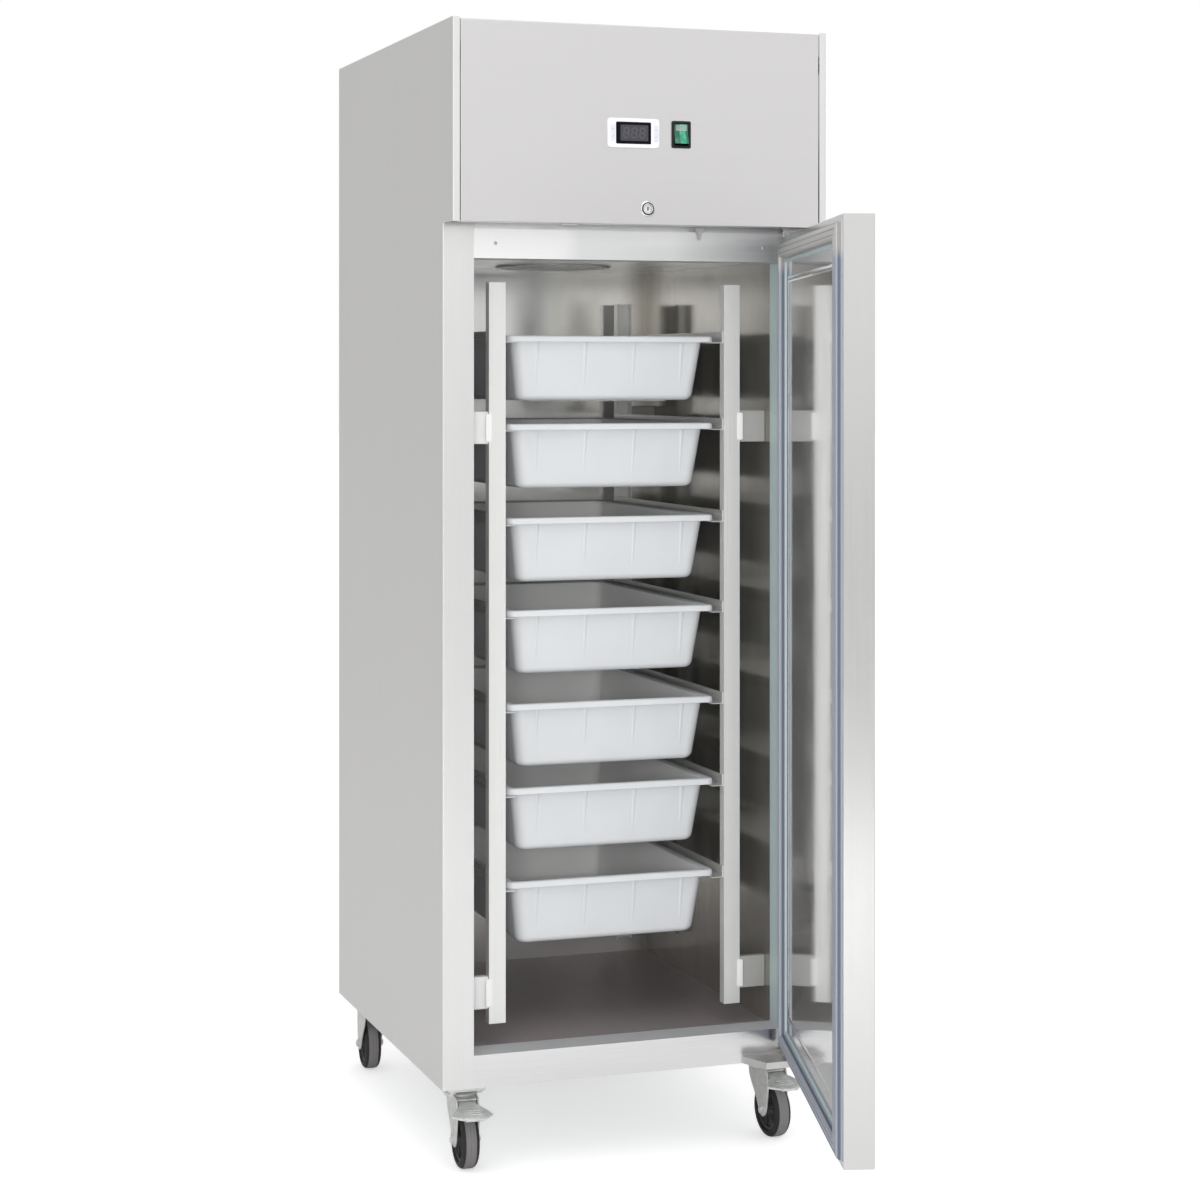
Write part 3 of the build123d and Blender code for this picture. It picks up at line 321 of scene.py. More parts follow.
# The liner floor is painted dark as painted shade under the trays.
look(brushed_steel, "floor_steel", (0.44, 0.39, 0.395), 0.45, ALONG_Y, 0.00002, 0.9, 0.4)
look(zinc_plate, "back_steel", (0.60, 0.61, 0.62), 0.42, contrast=0.92)
look(brushed_steel, "pull_steel", grey(0.62), 0.3)
look(brushed_steel, "hinge_steel", (0.72, 0.71, 0.70), 0.36, ALONG_X, metallic=0.85)
look(brushed_steel, "post_steel", (0.86, 0.86, 0.84), 0.34, metallic=0.45)
look(brushed_steel, "runner_steel", (0.72, 0.72, 0.70), 0.3, ALONG_Y, metallic=0.7)
look(bright_steel, "screw_steel", (0.62, 0.62, 0.61), 0.22, 0.00005)
look(bright_steel, "chrome", (0.86, 0.86, 0.87), 0.10, 0.00005)
look(zinc_plate, "castor_zinc", (0.72, 0.72, 0.70), 0.38, 0.6)
look(zinc_plate, "pedal_zinc", (0.78, 0.80, 0.785), 0.36, 0.55, 0.7)
look(zinc_plate, "galvanised", (0.62, 0.64, 0.66), 0.40)
look(brushed_steel, "coil_metal", (0.72, 0.74, 0.75), 0.35)
look(brushed_steel, "fin_aluminium", (0.80, 0.81, 0.82), 0.3)
look(bright_steel, "guard_chrome", (0.80, 0.80, 0.79), 0.22, 0.0006, 0.05, 0.3)
look(brushed_steel, "copper", (0.72, 0.38, 0.25), 0.3)
# Plastics and rubber
look(breaker_strip, "breaker_plastic", (0.47, 0.56, 0.565), (0.52, 0.52, 0.53))
look(plastic, "foam", (0.83, 0.74, 0.48), 0.9, 0.0004, 260)
look(plastic, "compressor_black", (0.012, 0.012, 0.013), 0.33)
look(plastic, "fan_black", (0.025, 0.025, 0.027), 0.42)
look(plastic, "bush_plastic", grey(0.05), 0.5)
# The right-hand clips are painted darker, as painted shade from the open door.
look(plastic, "bracket_plastic", (0.78, 0.78, 0.77), 0.45, zones=[("X", 0.1, 0.2, (0.33, 0.325, 0.31))])
look(plastic, "lip_plastic", (0.88, 0.88, 0.87), 0.4)
look(plastic, "tray_plastic", (0.685, 0.70, 0.715), 0.36, 0.00002, 1100)
# Painted light: a brighter copy of the tray plastic for the tubs' insides, which lie in shade.
look(plastic, "tray_inside", (0.93, 0.93, 0.92), 0.42, 0.00002, 1100)
look(plastic, "tyre", grey(0.010), 0.6, 0.00006)
look(plastic, "tread_grey", (0.20, 0.19, 0.19), 0.7, 0.00008, 500, 0.8)
look(plastic, "wheel_plastic", (0.035, 0.035, 0.037), 0.45)
look(plastic, "pad_plastic", (0.74, 0.74, 0.73), 0.5)
# The gasket's top band is painted lighter, as painted light from above; the darker fold strips are painted
# shade.
look(plastic, "gasket_rubber", (0.34, 0.365, 0.42), 0.42, zones=[("Z", 1.575, 1.592, (0.50, 0.49, 0.47))])
look(plastic, "gasket_shade", (0.13, 0.145, 0.19), 0.5, zones=[("Z", 1.575, 1.592, (0.32, 0.32, 0.33))])
look(plastic, "retainer_plastic", (0.48, 0.58, 0.60), 0.4)
look(plastic, "trim_grey", grey(0.40), 0.5)
# Controls
look(plastic, "control_white", (0.82, 0.83, 0.86), 0.32)
look(plastic, "key_plastic", (0.66, 0.68, 0.74), 0.38)
look(plastic, "mark_grey", (0.36, 0.37, 0.42), 0.5)
look(plastic, "display_dark", (0.003, 0.003, 0.006), 0.5, 0.000005, Specular_IOR_Level=0.1)
look(plastic, "display_glass", (0.058, 0.057, 0.070), 0.25, 0.000003, Specular_IOR_Level=0.25)
look(plastic, "segment_grey", (0.088, 0.082, 0.083), 0.4, 0.000003)
look(plastic, "switch_black", (0.010, 0.010, 0.011), 0.4, Specular_IOR_Level=0.3)
# The rocker's lighter middle band is a painted highlight.
look(painted_highlight_lens, "rocker_green", (0.0, 0.115, 0.065), (0.06, 0.50, 0.30))
# The grip ribs are real relief; their light grey stands in for a reflection, a painted reflection.
look(plastic, "rocker_grey", (0.42, 0.46, 0.44), 0.4)

OWN_LOOKS = {
    "fascia_panel": "fascia_steel", "door_outer_skin": "door_steel", "door_edge_frame": "door_steel",
    "door_inner_skin": "door_liner_steel", "liner_floor": "floor_steel", "top_rail": "rail_steel",
    "liner_ceiling": "ceiling_steel",
}


def dress_cad_nodes():
    """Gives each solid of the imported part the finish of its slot, or its own."""
    slots = {s["node"]: s["material_slot"] for s in frame["record"]["subparts"]}
    for node, thing in frame["nodes"].items():
        thing.data.materials.clear()
        thing.data.materials.append(LOOKS[OWN_LOOKS.get(node, slots[node])])


# Shapes: each is a function of two parameters on a grid, as whole arrays. A skin is its points, its
# quads, and the loops that cap its ends.


def grid_faces(rows, columns, wrap_rows):
    """Quads between the rows of a grid whose rows are closed loops, joined end to end where asked."""
    r, c = np.meshgrid(np.arange(rows if wrap_rows else rows - 1), np.arange(columns), indexing="ij")
    below, beside = (r + 1) % rows, (c + 1) % columns
    quads = [r * columns + c, r * columns + beside, below * columns + beside, below * columns + c]
    return np.stack(quads, -1).reshape(-1, 4)


def flipped(skin):
    """The same skin with its faces turned round."""
    points, quads, caps = skin
    return points, quads[:, ::-1], [cap[::-1] for cap in caps]


def loft(rows, ring=False):
    """A skin through rows of points, each row a closed loop: the ends are capped, or joined as a ring.
    Its faces point outwards when the volume under them, triangle by triangle, is positive."""
    rows = np.asarray(rows, float)
    count, across = rows.shape[:2]
    points, quads = rows.reshape(-1, 3), grid_faces(count, across, ring)
    caps = [] if ring else [np.arange(across)[::-1], np.arange((count - 1) * across, count * across)]
    fans = [quads[:, [0, 1, 2]], quads[:, [0, 2, 3]]]
    fans += [np.stack([np.full(len(cap) - 2, cap[0]), cap[1:-1], cap[2:]], -1) for cap in caps]
    a, b, c = (points[np.concatenate(fans)[:, k]] for k in range(3))
    skin = points, quads, caps
    return skin if np.einsum("ij,ij->i", a, np.cross(b, c)).sum() > 0 else flipped(skin)


def circle(steps, start=0.0):
    return start + np.linspace(0, 2 * math.pi, steps, endpoint=False)


def unit(vectors):
    return vectors / np.maximum(np.linalg.norm(vectors, axis=-1, keepdims=True), 1e-9)


def turned(profile, centre, axis, steps=48, ring=False):
    """A turned form: each (along, radius) of the profile becomes a circle round the axis."""
    along = np.asarray(axis, float)
    side = unit(np.cross(RIGHT if abs(along[2]) > 0.9 else UP, along))
    up = np.cross(along, side)
    profile = np.asarray(profile, float)
    angle = circle(steps)[:, None]
    around = np.cos(angle) * side + np.sin(angle) * up
    rows = profile[:, 1, None, None] * around + profile[:, 0, None, None] * along
    return loft(rows + np.asarray(centre, float), ring)


def rounded_loop(width, depth, corner, per_corner=7):
    """A rectangle with rounded corners: a quarter circle round each corner's centre."""
    angle = (np.arange(4)[:, None] * math.pi / 2 + np.linspace(0, math.pi / 2, per_corner)).ravel()
    sx = np.repeat([1, -1, -1, 1], per_corner)
    sy = np.repeat([1, 1, -1, -1], per_corner)
    return np.stack([sx * (width / 2 - corner) + corner * np.cos(angle),
                     sy * (depth / 2 - corner) + corner * np.sin(angle)], -1)


def on_plane(loop, height, centre, plane="xy"):
    """Lays a flat loop at a height over its plane: xy stands on z, xz faces -y, yz faces x."""
    u, v, w = loop[:, 0], loop[:, 1], np.full(len(loop), float(height))
    order = {"xy": (u, v, w), "xz": (u, w, v), "yz": (w, u, v)}[plane]
    return np.stack(order, -1) + np.asarray(centre, float)


def slab(levels, centre, plane="xy"):
    """A moulded block: rounded rectangles (height, width, depth, corner) one over another."""
    return loft([on_plane(rounded_loop(w, d, r), h, centre, plane) for h, w, d, r in levels])


def pillow(width, depth, corner, low, high, edge, centre, plane="xy"):
    """A block with its two rims rounded: the rim follows a quarter circle."""
    turn = np.linspace(0, math.pi / 2, 4)
    rim = list(zip(edge * (1 - np.cos(turn)), edge * (1 - np.sin(turn))))
    heights = [(low + rise, inward) for rise, inward in rim]
    heights += [(high - rise, inward) for rise, inward in rim[::-1]]
    return slab([(h, width - 2 * i, depth - 2 * i, max(corner - i, 0.1)) for h, i in heights], centre, plane)


def inset(loop, distance):
    """A flat loop moved inwards: each point goes along the mean of its two edges' normals."""
    before, after = loop - np.roll(loop, 1, 0), np.roll(loop, -1, 0) - loop
    mean = unit(unit(before) + unit(after))
    normal = np.stack([-mean[:, 1], mean[:, 0]], -1)
    area = (loop[:, 0] * np.roll(loop[:, 1], -1) - loop[:, 1] * np.roll(loop[:, 0], -1)).sum()
    return loop + normal * distance * (1 if area > 0 else -1)


def smoothed(corners, radius, per_bend=6):
    """A closed path with its corners rounded: at each, a parabola from one leg to the next."""
    p = np.asarray(corners, float)
    back, ahead = np.roll(p, 1, 0) - p, np.roll(p, -1, 0) - p
    lengths = [np.linalg.norm(leg, axis=1, keepdims=True) for leg in (back, ahead)]
    reach = np.minimum(np.minimum(*lengths) * 0.49,
                       np.broadcast_to(np.asarray(radius, float).reshape(-1, 1), (len(p), 1)))
    start, end = (p + leg / length * reach for leg, length in zip((back, ahead), lengths))
    t = np.linspace(0, 1, per_bend)[None, :, None]
    bends = (1 - t) ** 2 * start[:, None] + 2 * t * (1 - t) * p[:, None] + t ** 2 * end[:, None]
    return bends.reshape(-1, p.shape[1])


def pressed_plate(loop, low, high, edge, centre, plane="xy"):
    """Sheet cut to a loop, with its edges broken."""
    tight = inset(loop, edge)
    levels = [(low, tight), (low + edge, loop), (high - edge, loop), (high, tight)]
    return loft([on_plane(shape, height, centre, plane) for height, shape in levels])


OFF_AXIS = (0.31, 0.23, 0.92)    # no pipe runs this way


def pipe(path, radius, sides=12):
    """A round wire or pipe: a circle carried square to a path."""
    path = np.asarray(path, float)
    ahead = unit(np.gradient(path, axis=0))
    side = unit(np.cross(ahead, OFF_AXIS))
    up = np.cross(ahead, side)
    angle = circle(sides)[None, :, None]
    return loft(path[:, None] + radius * (np.cos(angle) * side[:, None] + np.sin(angle) * up[:, None]))


def moved(skin, matrix=None, shift=(0, 0, 0)):
    points = skin[0] if matrix is None else skin[0] @ np.asarray(matrix).T
    return points + np.asarray(shift, float), *skin[1:]


def mirrored(skins):
    """The same pieces on the cabinet's other side."""
    return [flipped((points * (-1, 1, 1) + (WIDTH, 0, 0), quads, caps)) for points, quads, caps in skins]


def about_z(angle):
    c, s = math.cos(angle), math.sin(angle)
    return np.array([[c, -s, 0], [s, c, 0], [0, 0, 1]])


def about_x(angle):
    c, s = math.cos(angle), math.sin(angle)
    return np.array([[1, 0, 0], [0, c, -s], [0, s, c]])


def screw_head(centre, axis, radius, height):
    """A pan head: a low dome with a recess in its middle."""
    profile = [(0, radius), (0.45 * height, radius), (0.8 * height, 0.86 * radius), (height, 0.58 * radius),
               (height, 0.4 * radius), (0.35 * height, 0.3 * radius)]
    return turned(profile, centre, axis, 20)


def hex_bolt(centre, axis, across, height):
    """A six-sided head with a chamfered top, on a round washer face."""
    radius = across / math.sqrt(3)
    washer = turned([(0, radius * 1.12), (0.7, radius * 1.12)], centre, axis, 24)
    head = turned([(0.7, radius), (height - 0.9, radius), (height, radius * 0.86)], centre, axis, 6)
    return [washer, head]


SHARP_ANGLE = math.radians(32)


def piece(name, skins, look, body="cabinet", replaces=(), inside=None):
    """Puts one or more skins, in millimetres, into a mesh that rides on a body. Faces between two numbers may
    take a second look."""
    count, points, faces = 0, [], []
    for skin_points, quads, caps in skins:
        points.append(skin_points)
        faces += (quads + count).tolist() + [(cap + count).tolist() for cap in caps]
        count += len(skin_points)
    mesh = bpy.data.meshes.new(name)
    mesh.from_pydata(metres(np.concatenate(points)).tolist(), [], faces)
    mesh.materials.append(LOOKS[look])
    if inside:
        second, first, last = inside
        mesh.materials.append(LOOKS[second])
        order = np.arange(len(mesh.polygons))
        mesh.polygons.foreach_set("material_index", ((order >= first) & (order < last)).astype(np.int32))
    mesh.shade_smooth()
    mesh.set_sharp_from_angle(angle=SHARP_ANGLE)
    thing = add_object(name, mesh)
    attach(thing, body)
    if replaces:
        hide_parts(*replaces)


# Trays

TRAY_TOPS = (485, 653, 804, 972, 1138, 1307, 1466)
TRAY_RIM, TRAY_MOUTH, TRAY_FLOOR = (400, 600), (372, 572), (341, 541)
TRAY_HEIGHT, TRAY_WALL, RIM_DROP, RIM_THICK = 117, 2.5, 11, 3
TRAY_FOOT, TRAY_CORNER, RIM_CORNER = 11.0, 22.0, 16
TRAY_CENTRE_Y = 98 + TRAY_RIM[1] / 2
UNDER_RIM = TRAY_HEIGHT - RIM_THICK
TRAY_LEAN = (TRAY_MOUTH[0] - TRAY_FLOOR[0]) / 2 / UNDER_RIM
RIB_SPOTS = (-140, -47, 47, 140)


def tray_wall(height, offset=0.0):
    """The width and length of the leaning wall at a height, moved outwards by an offset."""
    return tuple(size - 2 * TRAY_LEAN * (UNDER_RIM - height) + 2 * offset for size in TRAY_MOUTH)


def tray_foot(thickness, angles):
    """The rounded foot of the wall: a quarter circle, on the outside or a wall's thickness inside it."""
    radius, levels = TRAY_FOOT - thickness, []
    for angle in angles:
        height = thickness + radius * (1 - math.cos(angle))
        shrink = radius * (1 - math.sin(angle))
        levels.append((height, *(size - 2 * shrink for size in tray_wall(height, -thickness)),
                       TRAY_CORNER - thickness - shrink))
    return levels


def tray_skin(top):
    """A moulded tub: rounded rectangles follow the wall's section, from the outside of the floor, up under
    the rolled rim, over it, and down to the inside of the floor."""
    bend = np.linspace(0, math.pi / 2, 7)
    levels = tray_foot(0.0, bend)
    levels += [(h, *tray_wall(h), TRAY_CORNER) for h in (*np.linspace(20, 97, 6), UNDER_RIM - 4)]
    levels.append((UNDER_RIM - 0.8, *tray_wall(UNDER_RIM, 0.8), TRAY_CORNER + 1))
    lip = [(0, -12.5), (0, -3.4), (-1, -2.6), (4 - RIM_DROP, -2.4), (3 - RIM_DROP, -2.2),
           (2.9 - RIM_DROP, -0.5), (3.6 - RIM_DROP, 0.0), (-1.6, -0.5), (0.6, -1.1), (1.9, -2.2), (2.7, -3.8),
           (3, -5.6), (3, -12.2), (2.5, -14.6)]
    levels += [(UNDER_RIM + height, *(size + 2 * out for size in TRAY_RIM), max(RIM_CORNER + out, 3))
               for height, out in lip]
    lip_end = len(levels)
    levels += [(h, *tray_wall(h, -TRAY_WALL), TRAY_CORNER - TRAY_WALL)
               for h in (TRAY_HEIGHT - 2.6, *np.linspace(105, 20, 6))]
    levels += tray_foot(TRAY_WALL, bend[::-1])
    levels.append((TRAY_WALL, 120, 220, 20))
    loops = np.array([on_plane(rounded_loop(w, d, r, 12), h, (MIDDLE_X, TRAY_CENTRE_Y, top - TRAY_HEIGHT))
                      for h, w, d, r in levels])
    return loft(loops), lip_end * loops.shape[1], (len(levels) - 1) * loops.shape[1]


def tray_rib(x, side, low):
    """A drafted rib on an end wall: a low swelling that follows the wall's lean and fades at its foot."""
    height = np.array([26.0, 33.0, 54.0, 89.0, 102.0, 104.5])
    proud = np.array([0.05, 0.5, 0.9, 1.5, 1.7, 1.8])
    half_width = np.array([1.6, 2.0, 2.6, 3.6, 4.4, 4.6])
    across = np.array([-1, -0.75, -0.4, 0, 0.4, 0.75, 1, 1, -1])
    out = np.array([0, 0.55, 0.92, 1, 0.92, 0.55, 0, -1, -1])
    wall = TRAY_FLOOR[1] / 2 + TRAY_LEAN * height
    depth = wall[:, None] + np.where(out < 0, -0.8, out * proud[:, None])
    return loft(np.stack([x + across * half_width[:, None], TRAY_CENTRE_Y + side * depth,
                          np.broadcast_to(low + height[:, None], depth.shape)], -1))


def build_trays():
    """Seven tubs, each with a stacking bar and four ribs at either end."""
    for number, top in enumerate(TRAY_TOPS, 1):
        tub, first, last = tray_skin(top)
        skins, low = [tub], top - TRAY_HEIGHT
        for side in (-1, 1):
            skins.append(pillow(270, 9, 4, -2.2, 0.5, 1.2, (MIDDLE_X, TRAY_CENTRE_Y + side * 215, low)))
            skins += [tray_rib(MIDDLE_X + spot, side, low) for spot in RIB_SPOTS]
        # The tubs' inner faces take the brighter inside look, as painted light where they lie in shade.
        piece(f"tray_{number}_tub", skins, "tray_plastic", f"tray_{number}", replaces=[f"tray_{number}"],
              inside=("tray_inside", first, last))


# Castors: drawn with the swivel's centre at x = 0, y = 0 and the wheel trailing to -y

CASTOR_X, CASTOR_FRONT_Y, CASTOR_REAR_Y, CASTOR_TRAIL, WHEEL_RADIUS = 58, 84, 703, 34, 50
CASTORS = {
    "front_left": (CASTOR_X, CASTOR_FRONT_Y, -3), "front_right": (WIDTH - CASTOR_X, CASTOR_FRONT_Y, 3),
    "rear_left": (CASTOR_X, CASTOR_REAR_Y, 176), "rear_right": (WIDTH - CASTOR_X, CASTOR_REAR_Y, 169),
}
AXLE = np.array([0.0, -CASTOR_TRAIL, WHEEL_RADIUS])
PLATE_BOTTOM, BODY_BOTTOM = 135, 152
FORK_HALF, LEG_THICK = 18.0, 3.0
PEDAL_Y, PEDAL_Z = -40.0, 112.0
TYRE_HALF, GROOVE_SPOTS = 16.0, (-0.42, 0.0, 0.42)


def castor_plate_skins():
    """A zinc plate, four bolts, the fixed half of the ball race, and the swivel's nut."""
    skins = [pillow(66, 86, 6, PLATE_BOTTOM, PLATE_BOTTOM + 3.2, 0.7, (0, 0, 0))]
    for x in (-24, 24):
        for y in (-34, 34):
            skins += hex_bolt((x, y, PLATE_BOTTOM), DOWN, 10, 4.4)
    race = [(0, 27), (-1.2, 27), (-2.4, 25.6), (-3.6, 24.2), (-4.8, 24.2), (-5.9, 23)]
    skins.append(turned(race, (0, 0, PLATE_BOTTOM), UP, 56))
    skins.append(turned([(-4.2, 8.8), (-3.2, 10), (0, 10)], (0, 0, 117), UP, 6))
    return skins


def fork_outline():
    """The side of a pressed leg: a broad top that sweeps down and forward to a round axle boss."""
    corners = [(23, 127.6), (-49, 127.6), (-56, 113), (-57, 86), (-49.5, 46), (-34, 34.5), (-19.5, 46),
               (-8, 68), (12, 90), (22, 106)]
    return smoothed(corners, [2, 8, 14, 18, 12, 14, 12, 20, 14, 8], 7)


def castor_fork_skins():
    """The legs, each with its boss, nut and stud end, and the two pins between them."""
    skins = []
    for side in (-1, 1):
        low, high = sorted((side * FORK_HALF, side * (FORK_HALF + LEG_THICK)))
        skins.append(pressed_plate(fork_outline(), low, high, 0.8, (0, 0, 0), "yz"))
        end = np.array([side * (FORK_HALF + LEG_THICK), AXLE[1], AXLE[2]])
        for profile, steps in (([(0, 10.5), (0.9, 10.5), (1.3, 9.6)], 32),
                               ([(1.2, 7.6), (4.1, 7.6), (5.0, 6.6)], 6),
                               ([(4.9, 4.6), (6.0, 4.4), (6.5, 3.4)], 24)):
            skins.append(turned(profile, end, (side, 0, 0), steps))
    for radius, centre, steps in ((5, AXLE, 24), (3, (0, PEDAL_Y, PEDAL_Z), 16)):
        skins.append(turned([(-FORK_HALF, radius), (FORK_HALF, radius)], centre, RIGHT, steps))
    return skins


def castor_crown_skins():
    """The domed crown over the ball race, and the plate that bridges the legs."""
    dome = [(128.7, 26.6), (127.9, 29.2), (126.2, 30.6), (123.2, 30.9), (121.4, 29.6), (120.6, 26.0),
            (120.4, 14.0)]
    bridge = smoothed([(-18.2, -50), (18.2, -50), (18.2, 22), (-18.2, 22)], 5, 5)
    return [turned(dome, (0, 0, 0), UP, 56), pressed_plate(bridge, 121.4, 124.2, 0.8, (0, 0, 0))]


def tyre_radius(across, groove):
    """The tyre's radius over its width: level, falling away at the shoulders, less its fine grooves."""
    grooves = sum(np.exp(-((across - spot) / 0.035) ** 2) for spot in GROOVE_SPOTS)
    return WHEEL_RADIUS - 7.4 * np.abs(across) ** 5.5 - groove * grooves


def tyre_skin():
    """A solid tyre: its section runs over the tread, round both shoulders and down its flanks."""
    across = np.linspace(-1, 1, 61)
    crown = 0.15 + 0.25 * (1 - np.cos(across * 3)) / 2
    outer = np.stack([across * TYRE_HALF, tyre_radius(across, 0.7) - crown], -1)
    flank = np.array([(TYRE_HALF, 40.5), (15.4, 38.6), (13.6, 37.4), (11.5, 37.0)])
    section = np.concatenate([outer, flank, flank[::-1] * (-1, 1)])
    return turned(section, AXLE, RIGHT, 96, ring=True)


def tread_skin():
    """The worn running band: a shallow ring over the tyre's middle, with the same grooves."""
    across = np.linspace(-0.6, 0.6, 45)
    edge = 0.35 * (np.abs(across) / 0.6) ** 12
    outer = np.stack([across * TYRE_HALF, tyre_radius(across, 0.75) - edge], -1)
    inner = np.stack([across[::-1] * 15.8, np.full(len(across), WHEEL_RADIUS - 3.0)], -1)
    return turned(np.concatenate([outer, inner]), AXLE, RIGHT, 96, ring=True)


def wheel_centre_skins():
    """The moulded centre: a dished web with a raised rim, six ribs and a long hub, on both sides."""
    web = np.array([(17.3, 5.2), (17.3, 10.4), (16.5, 11.5), (8.2, 12.6), (5.6, 14.5), (5.2, 28.0),
                    (6.2, 31.0), (11.4, 32.6), (12.3, 34.0), (12.3, 36.2), (11.4, 37.4)])
    skins = [turned(np.concatenate([web, web[::-1] * (-1, 1)]), AXLE, RIGHT, 72, ring=True)]
    for side in (-1, 1):
        rib = slab([(12, 6.5, 2.6, 0.8), (31.5, 4.2, 2.2, 0.8)], (side * 7.8, 0, 0))
        skins += [moved(rib, about_x(angle), AXLE) for angle in circle(6, 0.3)]
    return skins


def pedal_skins():
    """A pressed brake lever: its cheeks and toe, the flared hood over the tyre, and three grip ribs."""
    y, z = PEDAL_Y, PEDAL_Z
    side = smoothed([(y + 8, z - 8), (y + 8, z + 6), (y - 4, z + 9), (y - 22, z - 1.6), (y - 66, z - 6.2),
                     (y - 69.5, z - 9), (y - 66, z - 12), (y - 20, z - 10), (y - 9, z - 10)], 4, 5)
    across = np.linspace(-1, 1, 25)
    front = np.stack([across * 37, y - 70 + 22 * across ** 2, z - 6.0 + 1.5 * across ** 2], -1)
    back = np.stack([across * 37, y - 12 - 36 * across ** 2, z + 9.0 - 13.5 * np.abs(across) ** 1.5], -1)
    outline = np.concatenate([front, back[-2:0:-1]])
    centre = outline.mean(0)
    hood = [(outline - centre) * (shrink, shrink, 1) + centre - (0, 0, drop)
            for shrink, drop in ((0.965, 0.0), (1.0, 0.9), (1.0, 3.4), (0.965, 4.3))]
    ribs = [pillow(30, 2.2, 1, -0.6, 0.9, 0.4, (0, y - 40 - 7 * k, z + 0.5 - 1.54 * k)) for k in range(3)]
    return [pressed_plate(side, -16.5, 16.5, 0.9, (0, 0, 0), "yz"), loft(hood), *ribs]


def build_castors():
    """Each castor is drawn once, turned to its heading and put in its place."""
    plates, pads = [], []
    for name, (x, y, heading) in CASTORS.items():
        turn, spot = about_z(math.radians(heading)), (x, y, 0)

        def placed(skins):
            return [moved(skin, turn, spot) for skin in skins]

        plates += [moved(skin, None, spot) for skin in castor_plate_skins()]
        pads.append(pillow(70, 90, 6, PLATE_BOTTOM + 3, BODY_BOTTOM, 0.8, spot))
        fork, wheel = f"castor_{name}", f"wheel_{name}"
        piece(f"fork_{name}", placed(castor_fork_skins()), "castor_zinc", fork,
              replaces=[f"castor_fork_{name}"])
        piece(f"crown_{name}", placed(castor_crown_skins()), "pedal_zinc", fork)
        piece(f"tyre_{name}", placed([tyre_skin()]), "tyre", wheel, replaces=[f"castor_wheel_{name}"])
        piece(f"tread_{name}", placed([tread_skin()]), "tread_grey", wheel)
        piece(f"wheel_centre_{name}", placed(wheel_centre_skins()), "wheel_plastic", wheel)
        if name.startswith("front"):
            piece(f"pedal_{name}", placed(pedal_skins()), "pedal_zinc", f"pedal_{name}",
                  replaces=[f"brake_pedal_{name}"])
    piece("castor_plate_set", plates, "castor_zinc", replaces=["castor_plates"])
    piece("castor_pads", pads, "pad_plastic")


# Door: drawn closed, then swung to where it stands

DOOR_ANGLE = math.radians(74)
DOOR_PIVOT = (666.0, -52.0)
DOOR_X, DOOR_Y, DOOR_Z = (2, 697), (-62, -13), (171, 1644)
GASKET_INSET = 10
PULL_SCREWS = [(x, z) for x in (44, 70) for z in (832, 988)]


def swung(skins):
    """Door pieces turned about the hinge pins."""
    pivot = np.array([*DOOR_PIVOT, 0.0])
    return [moved(moved(skin, shift=-pivot), about_z(DOOR_ANGLE), pivot) for skin in skins]


def door_ring(section):
    """A section carried round the door with mitred corners: each point becomes a rectangle."""
    section = np.asarray(section, float)
    (left, right), (foot, head) = DOOR_X, DOOR_Z
    half = np.array([(right - left) / 2, (head - foot) / 2]) - GASKET_INSET
    corners = np.array([(1, 1), (-1, 1), (-1, -1), (1, -1)])
    flat = corners[None] * (half[None, None] - section[:, :1, None])
    depth = np.broadcast_to(DOOR_Y[1] + section[:, 1, None], flat.shape[:2])
    rows = np.stack([flat[..., 0] + (left + right) / 2, depth, flat[..., 1] + (foot + head) / 2], -1)
    return loft(rows, ring=True)


def build_gasket():
    """The magnetic bellows seal: a foot, two folds, and a crown with the magnet's pocket."""
    seal = [(0.2, 0), (29.8, 0), (30, 1.6), (29, 2.5), (26.4, 2.7), (25.0, 3.7), (25.4, 5.0), (27.6, 6.1),
            (28.6, 7.4), (28.2, 9.0), (26.9, 9.8), (26.7, 11.2), (25.4, 12.1), (22.6, 12.2), (21.8, 11.4),
            (20.9, 11.4), (20.2, 12.1), (13.2, 11.7), (12.3, 10.8), (11.4, 10.8), (10.6, 11.2), (6.4, 10.1),
            (3.9, 8.8), (3.2, 7.6), (4.4, 6.4), (6.8, 5.2), (6.5, 4.2), (4.4, 3.3), (1.2, 2.7), (0.1, 1.6)]
    strip = [(30.6, 0), (37.5, 0), (37.5, 0.8), (36.6, 1.7), (31.4, 1.7), (30.6, 1.2)]
    # Painted shade: dark strips laid over the seal's folds and creases.
    folds = [(26.2, 28.0, 3.0, 6.0), (20.1, 22.0, 11.5, 12.0), (10.5, 12.6, 10.6, 11.4),
             (2.0, 4.6, 3.2, 6.4)]
    painted_fold_shade = [door_ring([(near, low), (far, low), (far, high), (near, high)])
              for near, far, low, high in folds]
    piece("gasket_seal", swung([door_ring(seal)]), "gasket_rubber", "door", replaces=["door_gasket"])
    piece("gasket_fold_painted_shade", swung(painted_fold_shade), "gasket_shade", "door")
    piece("gasket_retainer", swung([door_ring(strip)]), "retainer_plastic", "door")


